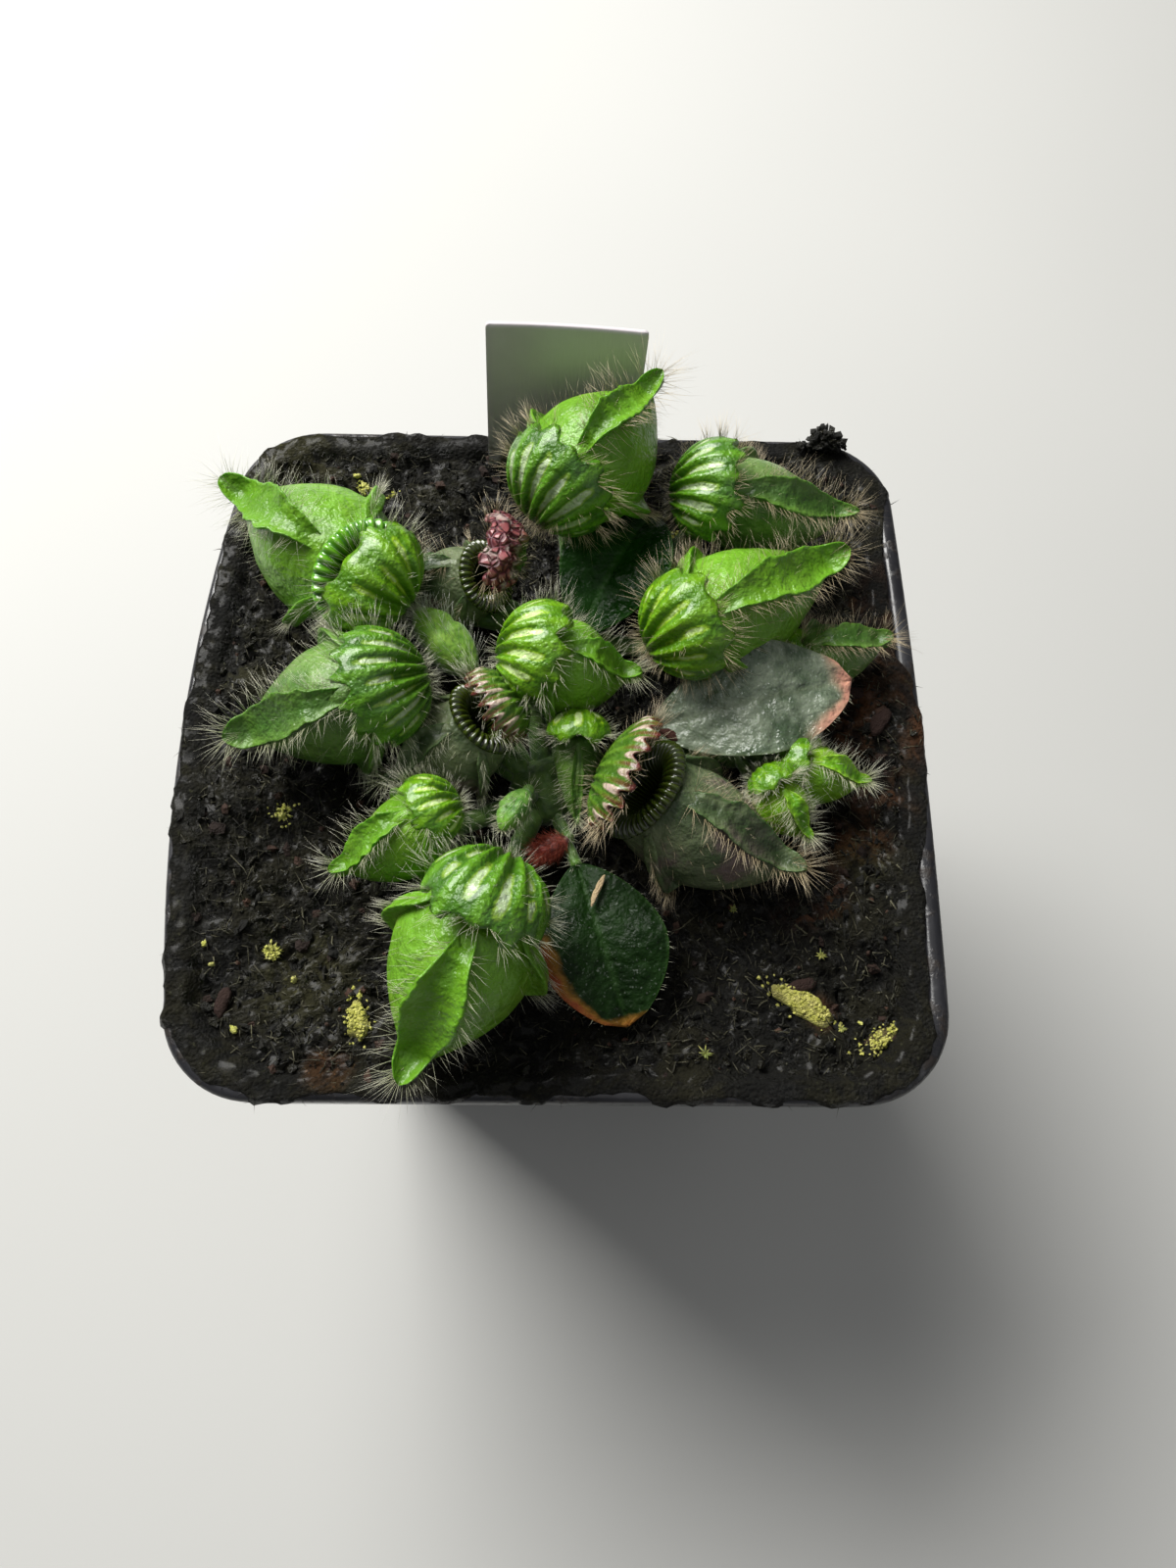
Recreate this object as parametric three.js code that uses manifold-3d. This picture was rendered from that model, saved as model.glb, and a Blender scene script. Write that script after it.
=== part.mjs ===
// A potted Albany pitcher plant: a square plastic pot of peat with a blank plant label, and a
// rosette of pitchers, flat leaves and young buds on one creeping rhizome. Each pitcher is a pouch
// with three keels under a domed, ribbed lid. The open ones are hollow, with a toothed ring round
// the mouth, and the shut ones are solid.
// Millimetres, +Z up. The origin is the centre of the pot's flat underside, +Y is the label's side.
import * as THREE from "three";
import { mergeVertices } from "three/addons/utils/BufferGeometryUtils.js";
import Module from "manifold-3d";

const wasm = await Module();
wasm.setup();

// The pot: half widths over its flat sides, from the base up to the rim
const potHeight = 95;
const rimHalf = 45;
const baseHalf = 33.5;
const potWall = 1.0;
const lipHeight = 7;
const lipOverhang = 1.2;
const lipTopWidth = 1.6;
const rimCorner = 11;
const baseCorner = 8;
const leftBow = 2.6;
const rightBow = 0.6;
const floorThickness = 1.4;
const drainSlot = { count: 8, length: 9, width: 3.4, sideReach: 22, cornerReach: 26.84 };

// The peat's mean level, its rise against the rim, how far it stays inside the rim, and the play
// that touching pieces keep
const soilLevel = 92.3;
const soilRise = 2.1;
const peatMargin = 0.7;
const play = 0.3;

// The pouch: where along it the belly is, and its depth in front of and behind its axis as shares
// of its width
const bellyAt = 0.36;
const frontShare = 0.44;
const backShare = 0.5;
const pouchWall = 0.9;

// The front keel: half width of its flange as a share of the pouch's width, the rise of the
// flange's edges, half the stem's thickness, the depth that the stem is sunk, and where along the
// pouch it leaves the skin
const keelShare = 0.17;
const keelEdge = 0.7;
const keelStem = 0.4;
const keelRoot = 0.9;
const keelLeaves = 0.94;

// The side keels: where along the pouch they end, half their thickness, and their angle from the
// pouch's front at the top and its growth on the way down, in degrees
const sideKeelEnd = 0.4;
const sideKeelHalf = 0.42;
const sideKeelTop = 62;
const sideKeelTurn = 44;

// The lid: its rise and notch as shares of its half width, the spread of its ribs about the hinge
// in degrees, and how deep its ribs and lobes are. The ring holds an open pitcher's lid higher.
const lidRise = 0.74;
const lidThickness = 0.9;
const lidNotch = 0.13;
const lidSpread = 138;
const ribShare = 0.05;
const ringSeat = 1.9;

const up = new THREE.Vector3(0, 0, 1);
const radians = (degrees) => (degrees * Math.PI) / 180;

// Mouth centre and bottom tip of each pouch, then its width, the mouth's share of it, the bend of
// its axis and its turn about that axis in degrees, how far the lid is open, the lid's size against
// the mouth, the teeth of the ring round an open mouth, and the head of the rhizome it grows from
const pitchers = [
  { name: "back", mouth: [-0.5, 26, 109.5], tip: [10.6, 39.2, 110.6], width: 15.5, gape: 0.66, bend: 44,
    roll: 12, lidOpen: 3, lidSize: 1.42, teeth: 0, stalk: "rear" },
  { name: "right", mouth: [14.2, 7.6, 107.5], tip: [33, 19.2, 104], width: 14.5, gape: 0.64, bend: 46,
    roll: 16, lidOpen: 2, lidSize: 1.42, teeth: 0, stalk: "rear" },
  { name: "left_back", mouth: [-24.6, 15.1, 106.5], tip: [-40.8, 28.2, 103], width: 16.5,
    gape: 0.7, bend: 46, roll: -18, lidOpen: 16, lidSize: 1.2, teeth: 16, stalk: "rear" },
  { name: "centre", mouth: [-3, 4.1, 107], tip: [7.6, 3.2, 102.8], width: 12, gape: 0.7, bend: 44,
    roll: 4, lidOpen: 3, lidSize: 1.46, teeth: 0, stalk: "main" },
  { name: "left", mouth: [-20.7, 0.1, 106.5], tip: [-38, -3.2, 99.6], width: 14.5, gape: 0.68, bend: 50,
    roll: -24, lidOpen: 3, lidSize: 1.42, teeth: 0, stalk: "main" },
  { name: "front", mouth: [-7.7, -25.3, 107], tip: [-16, -41.4, 98.6], width: 16, gape: 0.66, bend: 50,
    roll: -8, lidOpen: 3, lidSize: 1.34, teeth: 0, stalk: "main" },
  { name: "left_front", mouth: [-14.5, -14.4, 104.5], tip: [-24.8, -19.8, 98.6], width: 9.5, gape: 0.68,
    bend: 44, roll: 6, lidOpen: 3, lidSize: 1.32, teeth: 0, stalk: "main" },
  { name: "right_back", mouth: [18.1, 28.2, 105], tip: [36.2, 28.2, 100.6], width: 12.5,
    gape: 0.7, bend: 48, roll: 18, lidOpen: 3, lidSize: 1.5, teeth: 0, stalk: "rear" },
  { name: "centre_front", mouth: [1.9, -4, 103], tip: [1.8, -13.4, 98.6], width: 5, gape: 0.8, bend: 40,
    roll: 0, lidOpen: 3, lidSize: 1.3, teeth: 0, stalk: "main" },
  { name: "open_right", mouth: [10.3, -11.5, 102.9], tip: [26.6, -19, 98.2], width: 13.6,
    gape: 0.82, bend: 46, roll: 0, lidOpen: 20, lidSize: 1.3, teeth: 20, stalk: "main" },
  { name: "open_left", mouth: [-9.8, -2.9, 103], tip: [-19.8, -8.4, 97.8], width: 10.8,
    gape: 0.8, bend: 44, roll: 0, lidOpen: 14, lidSize: 1.15, teeth: 16, stalk: "main" },
  { name: "withered", mouth: [-10.5, 17.3, 102], tip: [-21, 18.4, 97.8], width: 10.2,
    gape: 0.8, bend: 40, roll: 0, lidOpen: 14, lidSize: 1.1, teeth: 16, stalk: "rear" },
  { name: "small_right", mouth: [28, -6.4, 100], tip: [36, -7.9, 97.8], width: 6, gape: 0.7, bend: 36,
    roll: 0, lidOpen: 3, lidSize: 1.25, teeth: 0, stalk: "east" },
  { name: "small_front", mouth: [24.7, -9.5, 101], tip: [28.6, -15, 98.8], width: 5,
    gape: 0.72, bend: 34, roll: 0, lidOpen: 3, lidSize: 1.25, teeth: 0, stalk: "east" },
  { name: "right_low", mouth: [29.3, 8.6, 99.5], tip: [40.4, 10.8, 98.8], width: 8, gape: 0.7, bend: 36,
    roll: 0, lidOpen: 3, lidSize: 1.2, teeth: 0, stalk: "east" },
];

// Flat leaves: the blade's foot and tip, its width, its rise at mid length, the fold of its halves
// about the midrib and its tilt about its length, and the depth of the waves in its edge
const leaves = [
  { name: "grey", foot: [10.6, -2, 99.6], tip: [34.9, 4, 101.4], width: 13.6,
    rise: 2.8, fold: 6, tilt: 12, wave: 0.5, stalk: "east" },
  { name: "dark", foot: [2.2, 12, 97], tip: [11.2, 28.8, 99.6], width: 14.4,
    rise: 2.2, fold: 10, tilt: -8, wave: 0.3, stalk: "rear" },
  { name: "front", foot: [1.9, -18.2, 96.6], tip: [7.8, -36.6, 95], width: 14.6,
    rise: 1.6, fold: 8, tilt: 0, wave: 0.3, stalk: "main" },
];

// Young pitchers that are still closed buds: both ends, and the width
const buds = [
  { name: "left", foot: [-11.8, 5.8, 100.2], tip: [-17.6, 11.8, 102.4], width: 5.2, stalk: "main" },
  { name: "front", foot: [-3.9, -10.2, 100.6], tip: [-6.9, -15.4, 101], width: 3.6, stalk: "main" },
  { name: "red", foot: [0.9, -14.8, 96.4], tip: [-3.1, -17.2, 97.6], width: 2.6, stalk: "main" },
];

// The rhizome's heads, where stalks spring from, and the run of its branches at the peat's surface
const heads = {
  main: { at: [-2, -8, 94.2], radius: 4.2 },
  rear: { at: [2.4, 13.2, 93.8], radius: 3.4 },
  east: { at: [21.5, -1.2, 93.4], radius: 2.8 },
};
const rhizomeRadius = 1.6;
const rhizomeDepth = 14;
const stalkRadius = 1.15;

// Flakes of perlite on the peat, greened over: middle, size and turn
const flakes = [
  { name: "long", at: [28.2, -33.5], size: [7.6, 2.8, 1.3], turn: -30 },
  { name: "corner", at: [37, -37.6], size: [5.8, 2.0, 1.3], turn: 35 },
  { name: "side", at: [-22.9, -36.1], size: [2.4, 4.4, 1.5], turn: 10 },
];

// The label is a blank strip standing in the peat by the back wall
const label = {
  width: 19.8, thickness: 0.8, top: 21.8, foot: -30, x: -0.9, y: 41.5, lean: 6.2, turn: -2.5,
};

const plastic = { color: 0x17181a, roughness: 0.45, metalness: 0 };
const finish = {
  pot: plastic,
  peat: { color: 0x15130f, roughness: 0.95, metalness: 0 },
  label: { color: 0xb9bab6, roughness: 0.5, metalness: 0 },
  flake: { color: 0xd8d96a, roughness: 0.9, metalness: 0 },
  pouch: { color: 0x3f8f28, roughness: 0.4, metalness: 0 },
  olderPouch: { color: 0x4d6b4a, roughness: 0.5, metalness: 0 },
  lid: { color: 0x2f7a22, roughness: 0.35, metalness: 0 },
  witheredLid: { color: 0x8a4048, roughness: 0.5, metalness: 0 },
  mouthRing: { color: 0x16230f, roughness: 0.2, metalness: 0 },
  leaf: { color: 0x1d4a1c, roughness: 0.4, metalness: 0 },
  greyLeaf: { color: 0x5b6f60, roughness: 0.55, metalness: 0 },
  bud: { color: 0x6fae45, roughness: 0.6, metalness: 0 },
  redBud: { color: 0x9c3a33, roughness: 0.7, metalness: 0 },
  rhizome: { color: 0x4f7a36, roughness: 0.7, metalness: 0 },
};

// A solid from points and triangles. One that comes out inside out is turned round.
function solidFromFaces(vertices, faces) {
  const build = (list) => new wasm.Manifold(new wasm.Mesh({
    numProp: 3, vertProperties: vertices, triVerts: new Uint32Array(list.flat()),
  }));
  const made = build(faces);
  return made.volume() < 0 ? build(faces.map(([a, b, c]) => [a, c, b])) : made;
}

// A closed solid from rings of points: a ring of one point is a pole, and an open end is capped
// with a fan to its middle
function solidFromRings(rings) {
  const points = [];
  const faces = [];
  const starts = rings.map((ring) => {
    const start = points.length;
    ring.forEach((point) => points.push(point));
    return start;
  });
  for (let i = 0; i + 1 < rings.length; i++) {
    const [a, b] = [rings[i], rings[i + 1]];
    const count = Math.max(a.length, b.length);
    for (let k = 0; k < count; k++) {
      const next = (k + 1) % count;
      const a0 = starts[i] + (a.length === 1 ? 0 : k);
      const a1 = starts[i] + (a.length === 1 ? 0 : next);
      const b0 = starts[i + 1] + (b.length === 1 ? 0 : k);
      const b1 = starts[i + 1] + (b.length === 1 ? 0 : next);
      if (a0 !== a1) faces.push([a0, a1, b0]);
      if (b0 !== b1) faces.push([a1, b1, b0]);
    }
  }
  [[0, false], [rings.length - 1, true]].forEach(([i, last]) => {
    const ring = rings[i];
    if (ring.length === 1) return;
    const middle = points.length;
    points.push(ring.reduce((sum, p) => sum.add(p), new THREE.Vector3()).divideScalar(ring.length));
    ring.forEach((_, k) => {
      const here = starts[i] + k;
      const next = starts[i] + ((k + 1) % ring.length);
      faces.push(last ? [here, next, middle] : [next, here, middle]);
    });
  });
  return solidFromFaces(new Float32Array(points.flatMap((p) => [p.x, p.y, p.z])), faces);
}

// A three.js geometry as a solid, with its shared points merged
function solidFromGeometry(geometry) {
  const bare = new THREE.BufferGeometry();
  bare.setAttribute("position", geometry.getAttribute("position").clone());
  bare.setIndex(geometry.getIndex());
  const merged = mergeVertices(bare, 1e-4);
  return new wasm.Manifold(new wasm.Mesh({
    numProp: 3,
    vertProperties: new Float32Array(merged.getAttribute("position").array),
    triVerts: new Uint32Array(merged.getIndex().array),
  }));
}

const join = (solids) => solids.reduce((all, one) => all.add(one));

const cutAll = (solid, others) => others.reduce((left, other) => left.subtract(other), solid);

// The biggest piece of a solid, so that no loose scrap is left by a cut
function mainBody(solid) {
  const pieces = solid.decompose();
  return pieces.reduce((best, piece) => (piece.volume() > best.volume() ? piece : best));
}

function meshOf(name, solid, look) {
  const { numProp, numVert, vertProperties, triVerts } = solid.getMesh();
  const positions = new Float32Array(numVert * 3);
  for (let i = 0; i < numVert; i++) {
    positions.set(vertProperties.subarray(i * numProp, i * numProp + 3), i * 3);
  }
  const geometry = new THREE.BufferGeometry();
  geometry.setAttribute("position", new THREE.BufferAttribute(positions, 3));
  geometry.setIndex(new THREE.BufferAttribute(new Uint32Array(triVerts), 1));
  const mesh = new THREE.Mesh(geometry, new THREE.MeshStandardMaterial(look));
  mesh.name = name;
  return mesh;
}

// Outline of the pot at one height: a square with round corners, whose left and right sides bow
// out a little, because the wall is soft
function potOutline(half, corner, bow, z) {
  const points = [];
  const straight = half - corner;
  const sideSteps = 4;
  const cornerSteps = 4;
  const bows = [[rightBow * bow, 0], [0, 0], [-leftBow * bow, 0], [0, 0]];
  for (let side = 0; side < 4; side++) {
    const turn = (side * Math.PI) / 2;
    const [cos, sin] = [Math.cos(turn), Math.sin(turn)];
    const place = (x, y, share) => {
      const swell = 4 * share * (1 - share);
      points.push(new THREE.Vector3(
        x * cos - y * sin + bows[side][0] * swell, x * sin + y * cos + bows[side][1] * swell, z));
    };
    for (let i = 0; i < sideSteps; i++) {
      const share = i / sideSteps;
      place(half, -straight + 2 * straight * share, share);
    }
    for (let i = 0; i < cornerSteps; i++) {
      const angle = ((Math.PI / 2) * i) / cornerSteps;
      place(straight + corner * Math.cos(angle), straight + corner * Math.sin(angle), 0);
    }
  }
  return points;
}

// Half width, corner radius and bow of the pot's outer wall at a height, by straight taper
function wallAt(z) {
  const share = z / potHeight;
  return {
    half: baseHalf + (rimHalf - lipOverhang - baseHalf) * share,
    corner: baseCorner + (rimCorner - baseCorner) * share,
    bow: share,
  };
}

function outlineOnWall(z, inset) {
  const wall = wallAt(z);
  return potOutline(wall.half - inset, wall.corner - inset * 0.6, wall.bow, z);
}

function potSolid() {
  const lipFoot = potHeight - lipHeight;
  const rimAt = (half, z) => potOutline(half, rimCorner, 1, z);
  const innerRim = rimHalf - lipTopWidth;
  const floorEdge = wallAt(floorThickness);
  const shell = solidFromRings([
    outlineOnWall(0, 0.6),
    outlineOnWall(1.2, 0),
    outlineOnWall(lipFoot, 0),
    rimAt(rimHalf - 0.2, lipFoot + lipOverhang + 0.2),
    rimAt(rimHalf, potHeight - 1),
    rimAt(rimHalf - 0.6, potHeight),
    rimAt(innerRim, potHeight),
    outlineOnWall(lipFoot, potWall),
    potOutline(floorEdge.half - potWall, floorEdge.corner - potWall, floorEdge.bow, floorThickness),
  ]);
  const slot = new THREE.BoxGeometry(drainSlot.length, drainSlot.width, 3 * floorThickness);
  const cuts = [];
  for (let i = 0; i < drainSlot.count; i++) {
    const turn = (2 * Math.PI * i) / drainSlot.count;
    const reach = i % 2 ? drainSlot.cornerReach : drainSlot.sideReach;
    const placed = slot.clone().rotateZ(turn + Math.PI / 2);
    placed.translate(reach * Math.cos(turn), reach * Math.sin(turn), 0);
    cuts.push(solidFromGeometry(placed));
  }
  return cuts.reduce((pot, cut) => pot.subtract(cut), shell);
}

// Height of the peat's top: slow waves, a mound under the rosette, a sunken front right corner, and
// a smooth rise towards the rim
function peatTop(x, y) {
  const waves = 0.45 * Math.sin(0.13 * x + 1) * Math.cos(0.11 * y)
    + 0.3 * Math.sin(0.31 * x + 0.23 * y) + 0.2 * Math.cos(0.4 * y - 0.27 * x);
  const mound = 0.9 * Math.exp(-((x - 2) ** 2 + (y + 2) ** 2) / 500);
  const corner = -2.6 * Math.exp(-((x - 40) ** 2 + (y + 40) ** 2) / 90);
  const reach = Math.max(Math.abs(x), Math.abs(y)) / (rimHalf - lipTopWidth - peatMargin);
  const bank = soilRise * THREE.MathUtils.smoothstep(reach, 0.7, 0.98);
  return soilLevel + waves + mound + corner + bank;
}

function peatSolid() {
  const lipFoot = potHeight - lipHeight;
  const rimShares = [0.9, 0.72, 0.52, 0.32, 0.15];
  const edge = potOutline(rimHalf - lipTopWidth - peatMargin, rimCorner, 1, 0);
  const rings = [
    outlineOnWall(floorThickness + play, potWall + 1.6),
    outlineOnWall(lipFoot, potWall + 0.6),
    ...[1, ...rimShares].map((share) => edge.map((p) =>
      new THREE.Vector3(p.x * share, p.y * share, peatTop(p.x * share, p.y * share)))),
    [new THREE.Vector3(0, 0, peatTop(0, 0))],
  ];
  return solidFromRings(rings);
}

// The frame that carries a pitcher: its axis is an arc from the mouth to the bottom tip. At a share
// v of its length it gives the centre, the way down the axis, and the pouch's front and side.
function pitcherFrame(pitcher) {
  const mouth = new THREE.Vector3(...pitcher.mouth);
  const chord = new THREE.Vector3(...pitcher.tip).sub(mouth);
  const out = new THREE.Vector3(chord.x, chord.y, 0).normalize();
  const side = out.clone().cross(up);
  const lean = Math.atan2(Math.hypot(chord.x, chord.y), -chord.z);
  const bend = radians(pitcher.bend);
  const length = (chord.length() * (bend / 2)) / Math.sin(bend / 2);
  const roll = new THREE.Quaternion();
  roll.setFromAxisAngle(chord.clone().normalize(), radians(pitcher.roll));
  const start = lean - bend / 2;
  const mix = (a, b) => out.clone().multiplyScalar(a).addScaledVector(up, b).applyQuaternion(roll);
  return {
    length,
    at(v) {
      const angle = start + bend * v;
      const run = (length / bend) * (Math.cos(start) - Math.cos(angle));
      const drop = (length / bend) * (Math.sin(angle) - Math.sin(start));
      return {
        centre: mix(run, -drop).add(mouth),
        down: mix(Math.sin(angle), -Math.cos(angle)),
        front: mix(Math.cos(angle), Math.sin(angle)),
        side: side.clone().applyQuaternion(roll),
      };
    },
  };
}

// Pouch radius along its length, as a share of the widest: it swells from the mouth to the belly
// and closes to a blunt point
function pouchSwell(pitcher, v) {
  if (v < bellyAt) return pitcher.gape + (1 - pitcher.gape) * Math.sin(((Math.PI / 2) * v) / bellyAt);
  return Math.cos(((Math.PI / 2) * (v - bellyAt)) / (1 - bellyAt)) ** 0.85;
}

// A point of the pouch's skin at a share v of its length and an angle from its front. The section
// is an oval, drawn out a little at the three keels.
function pouchPoint(pitcher, frame, v, angle, extra) {
  const { centre, front, side } = frame.at(v);
  const corners = 1 + 0.05 * Math.cos(3 * angle);
  const swell = pouchSwell(pitcher, Math.min(Math.max(v, 0), 1)) * corners;
  const across = (pitcher.width / 2) * swell + extra;
  const depth = pitcher.width * (Math.cos(angle) > 0 ? frontShare : backShare) * swell + extra;
  return centre.addScaledVector(side, across * Math.sin(angle))
    .addScaledVector(front, depth * Math.cos(angle));
}

function pouchRing(pitcher, frame, v, around, extra) {
  const ring = [];
  for (let k = 0; k < around; k++) {
    ring.push(pouchPoint(pitcher, frame, v, (2 * Math.PI * k) / around, extra));
  }
  return ring;
}

function pouchShell(pitcher, frame, grow, stations, around) {
  const stretch = grow / frame.length;
  const rings = stations.map((v) => pouchRing(pitcher, frame, v === 0 ? -stretch : v, around, grow));
  rings.push([frame.at(1 + stretch).centre]);
  return solidFromRings(rings);
}

// The hollow of a pouch, which runs out through the mouth
function pouchHollow(pitcher, frame, around) {
  const rings = [-0.12, 0.02, 0.28, 0.52, 0.76].map((v) =>
    pouchRing(pitcher, frame, v, around, -pouchWall));
  return solidFromRings(rings);
}

// The front keel: a stem along the pouch's front that carries a hollowed double flange, which is
// widest low down and runs out past the pouch's tip to a round end
function frontKeel(pitcher, frame, grow) {
  const size = pitcher.width;
  const { down } = frame.at(1);
  const rings = [0.05, 0.3, 0.55, 0.78, keelLeaves, 1.08].map((v, i, all) => {
    const { front, side } = frame.at(Math.min(v, 1));
    const foot = pouchPoint(pitcher, frame, Math.min(v, keelLeaves), 0, 0);
    foot.addScaledVector(down, Math.max(v - keelLeaves, 0) * (size + 0.4 * frame.length));
    const last = i === all.length - 1;
    const swell = Math.sin(Math.PI * (0.06 + 0.72 * v)) ** 0.8 * (last ? 0.5 : 1);
    const flange = size * keelShare * swell + grow;
    const height = size * (0.035 + 0.085 * Math.min(v, 1)) + grow;
    const stem = keelStem + grow;
    const under = height - 0.6 - grow;
    const edge = height + keelEdge;
    if (i === 0) foot.addScaledVector(down, -grow);
    if (last) foot.addScaledVector(down, grow);
    return [
      [-stem, -keelRoot], [-stem, under], [-flange, height - 0.1], [-flange * 0.96, edge],
      [0, height],
      [flange * 0.96, edge], [flange, height - 0.1], [stem, under], [stem, -keelRoot],
    ].map(([s, f]) => foot.clone().addScaledVector(side, s).addScaledVector(front, f));
  });
  return solidFromRings(rings);
}

// A side keel: a thin fin that runs down from the mouth's side and ends in a small point
function sideKeel(pitcher, frame, hand, grow) {
  const sunk = 0.7;
  const rings = [0.03, 0.16, 0.28, 0.36, 0.44].map((v, i) => {
    const share = v / sideKeelEnd;
    const angle = hand * radians(sideKeelTop + sideKeelTurn * share);
    const root = pouchPoint(pitcher, frame, v, angle, -sunk);
    const outward = pouchPoint(pitcher, frame, v, angle, 1).sub(root).normalize();
    const along = frame.at(v).down;
    const across = along.clone().cross(outward).normalize();
    if (i === 0 || i === 4) root.addScaledVector(along, i === 0 ? -grow : grow);
    const crest = pitcher.width * (v > sideKeelEnd ? 0.02 : 0.04 + 0.09 * share) + grow + sunk;
    const half = sideKeelHalf + grow;
    return [[-half, 0], [half, 0], [half * 0.8, crest], [-half * 0.8, crest]].map(([a, o]) =>
      root.clone().addScaledVector(across, a).addScaledVector(outward, o));
  });
  return solidFromRings(rings);
}

function pouchSolid(pitcher, grow) {
  const frame = pitcherFrame(pitcher);
  const big = pitcher.width > 7;
  const stations = big ? [0, 0.14, 0.34, 0.56, 0.76, 0.92] : [0, 0.2, 0.5, 0.85];
  const parts = [pouchShell(pitcher, frame, grow, stations, big ? 12 : 8)];
  parts.push(frontKeel(pitcher, frame, grow));
  if (big) parts.push(sideKeel(pitcher, frame, 1, grow), sideKeel(pitcher, frame, -1, grow));
  const whole = join(parts);
  return grow > 0 || !pitcher.teeth ? whole : whole.subtract(pouchHollow(pitcher, frame, 10));
}

// The lid's own frame: hinged at the back of the mouth and swung open about the pouch's side axis
function lidFrame(pitcher) {
  const { centre, down, front, side } = pitcherFrame(pitcher).at(0);
  const open = radians(pitcher.lidOpen);
  const mouthUp = down.clone().negate();
  const mouthWidth = pitcher.width * pitcher.gape;
  const hinge = centre.addScaledVector(mouthUp, pitcher.teeth ? ringSeat : play);
  hinge.addScaledVector(front, -mouthWidth * backShare);
  const forward = front.clone().multiplyScalar(Math.cos(open)).addScaledVector(mouthUp, Math.sin(open));
  const above = mouthUp.clone().multiplyScalar(Math.cos(open)).addScaledVector(front, -Math.sin(open));
  const half = (mouthWidth * pitcher.lidSize) / 2;
  const reach = (mouthWidth * (frontShare + backShare) * pitcher.lidSize) / 2;
  return { middle: hinge.addScaledVector(forward, reach * 0.94), forward, above, side, half, reach };
}

// A point of the lid: lines fan out from the hinge over a dome to a lobed front edge that is
// notched at its middle. A rib runs along each lobe's line.
function lidPoint(lid, fan, run, ribs, inset) {
  const angle = radians(lidSpread) * fan;
  const lobe = Math.cos(Math.PI * ribs * (fan + 1));
  const edge = 1 + ribShare * lobe - lidNotch * Math.exp(-((angle / 0.24) ** 2));
  const share = 0.3 * run + 0.35 * (1 - Math.cos(Math.PI * run));
  const x = 0.26 * fan * (1 - share) + edge * Math.sin(angle) * share;
  const y = -0.965 * (1 - share) + edge * Math.cos(angle) * share;
  const ribbed = 1 + ribShare * lobe * Math.sin(Math.PI * run);
  const rise = lidRise * Math.sqrt(Math.max(1 - x * x - y * y, 0)) * ribbed;
  const shrink = 1 - inset / lid.half;
  return lid.middle.clone().addScaledVector(lid.side, lid.half * x * shrink)
    .addScaledVector(lid.forward, lid.reach * y * shrink)
    .addScaledVector(lid.above, lid.half * rise * (1 - (inset * 1.2) / lid.half));
}

function lidSolid(pitcher, grow) {
  const lid = lidFrame(pitcher);
  const ribs = pitcher.width > 9 ? 5 : 3;
  const columns = 2 * ribs;
  const rows = pitcher.width > 9 ? 4 : 3;
  const grid = (inset, drop) => {
    const lines = [];
    for (let i = 0; i <= columns; i++) {
      const line = [];
      for (let j = 0; j <= rows; j++) {
        const point = lidPoint(lid, (2 * i) / columns - 1, j / rows, ribs, inset);
        line.push(point.addScaledVector(lid.above, drop));
      }
      lines.push(line);
    }
    return lines;
  };
  return sheetSolid(grid(-1.3 * grow, grow * 0.2), grid(lidThickness + grow, -1.2 * grow));
}

// The mouth ring: a rolled lip whose teeth turn over it and point down into the pouch
function mouthRing(pitcher) {
  const { centre, down, front, side } = pitcherFrame(pitcher).at(0);
  const teeth = pitcher.teeth;
  const stations = 2 * teeth;
  const section = [[-0.75, 0.35], [0.9, 0.35], [1, 1], [-0.1, 1.6], [-1.3, 0.9], [-1.6, -0.7]];
  const halfWidth = (pitcher.width / 2) * pitcher.gape - pouchWall / 2;
  const rings = section.map(([reach, lift], i) => {
    const ring = [];
    for (let k = 0; k < stations; k++) {
      const angle = (2 * Math.PI * k) / stations;
      const ridge = i > 1 ? (k % 2 ? -0.22 : 0.16) : 0;
      const share = Math.cos(angle) > 0 ? frontShare : backShare;
      const depth = pitcher.width * share * pitcher.gape - pouchWall / 2;
      const swell = i > 3 ? reach - ridge : reach + ridge;
      ring.push(centre.clone().addScaledVector(side, (halfWidth + swell) * Math.sin(angle))
        .addScaledVector(front, (depth + swell) * Math.cos(angle))
        .addScaledVector(down, -(lift + ridge)));
    }
    return ring;
  });
  return closedTube(rings);
}

// A closed solid from a top and a bottom grid of points, split into triangles alike on both
function sheetSolid(top, bottom) {
  const [rows, columns] = [top.length, top[0].length];
  const half = rows * columns;
  const vertices = new Float32Array([...top, ...bottom].flat().flatMap((p) => [p.x, p.y, p.z]));
  const faces = [];
  for (let i = 0; i + 1 < rows; i++) {
    for (let j = 0; j + 1 < columns; j++) {
      const a = i * columns + j;
      const [b, c, d] = [a + 1, a + columns, a + columns + 1];
      faces.push([a, b, d], [a, d, c], [half + a, half + d, half + b], [half + a, half + c, half + d]);
    }
  }
  const border = [];
  for (let j = 0; j + 1 < columns; j++) border.push(j);
  for (let i = 0; i + 1 < rows; i++) border.push(i * columns + columns - 1);
  for (let j = columns - 1; j > 0; j--) border.push((rows - 1) * columns + j);
  for (let i = rows - 1; i > 0; i--) border.push(i * columns);
  border.forEach((here, k) => {
    const next = border[(k + 1) % border.length];
    faces.push([here, half + here, next], [next, half + here, half + next]);
  });
  return solidFromFaces(vertices, faces);
}

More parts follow.
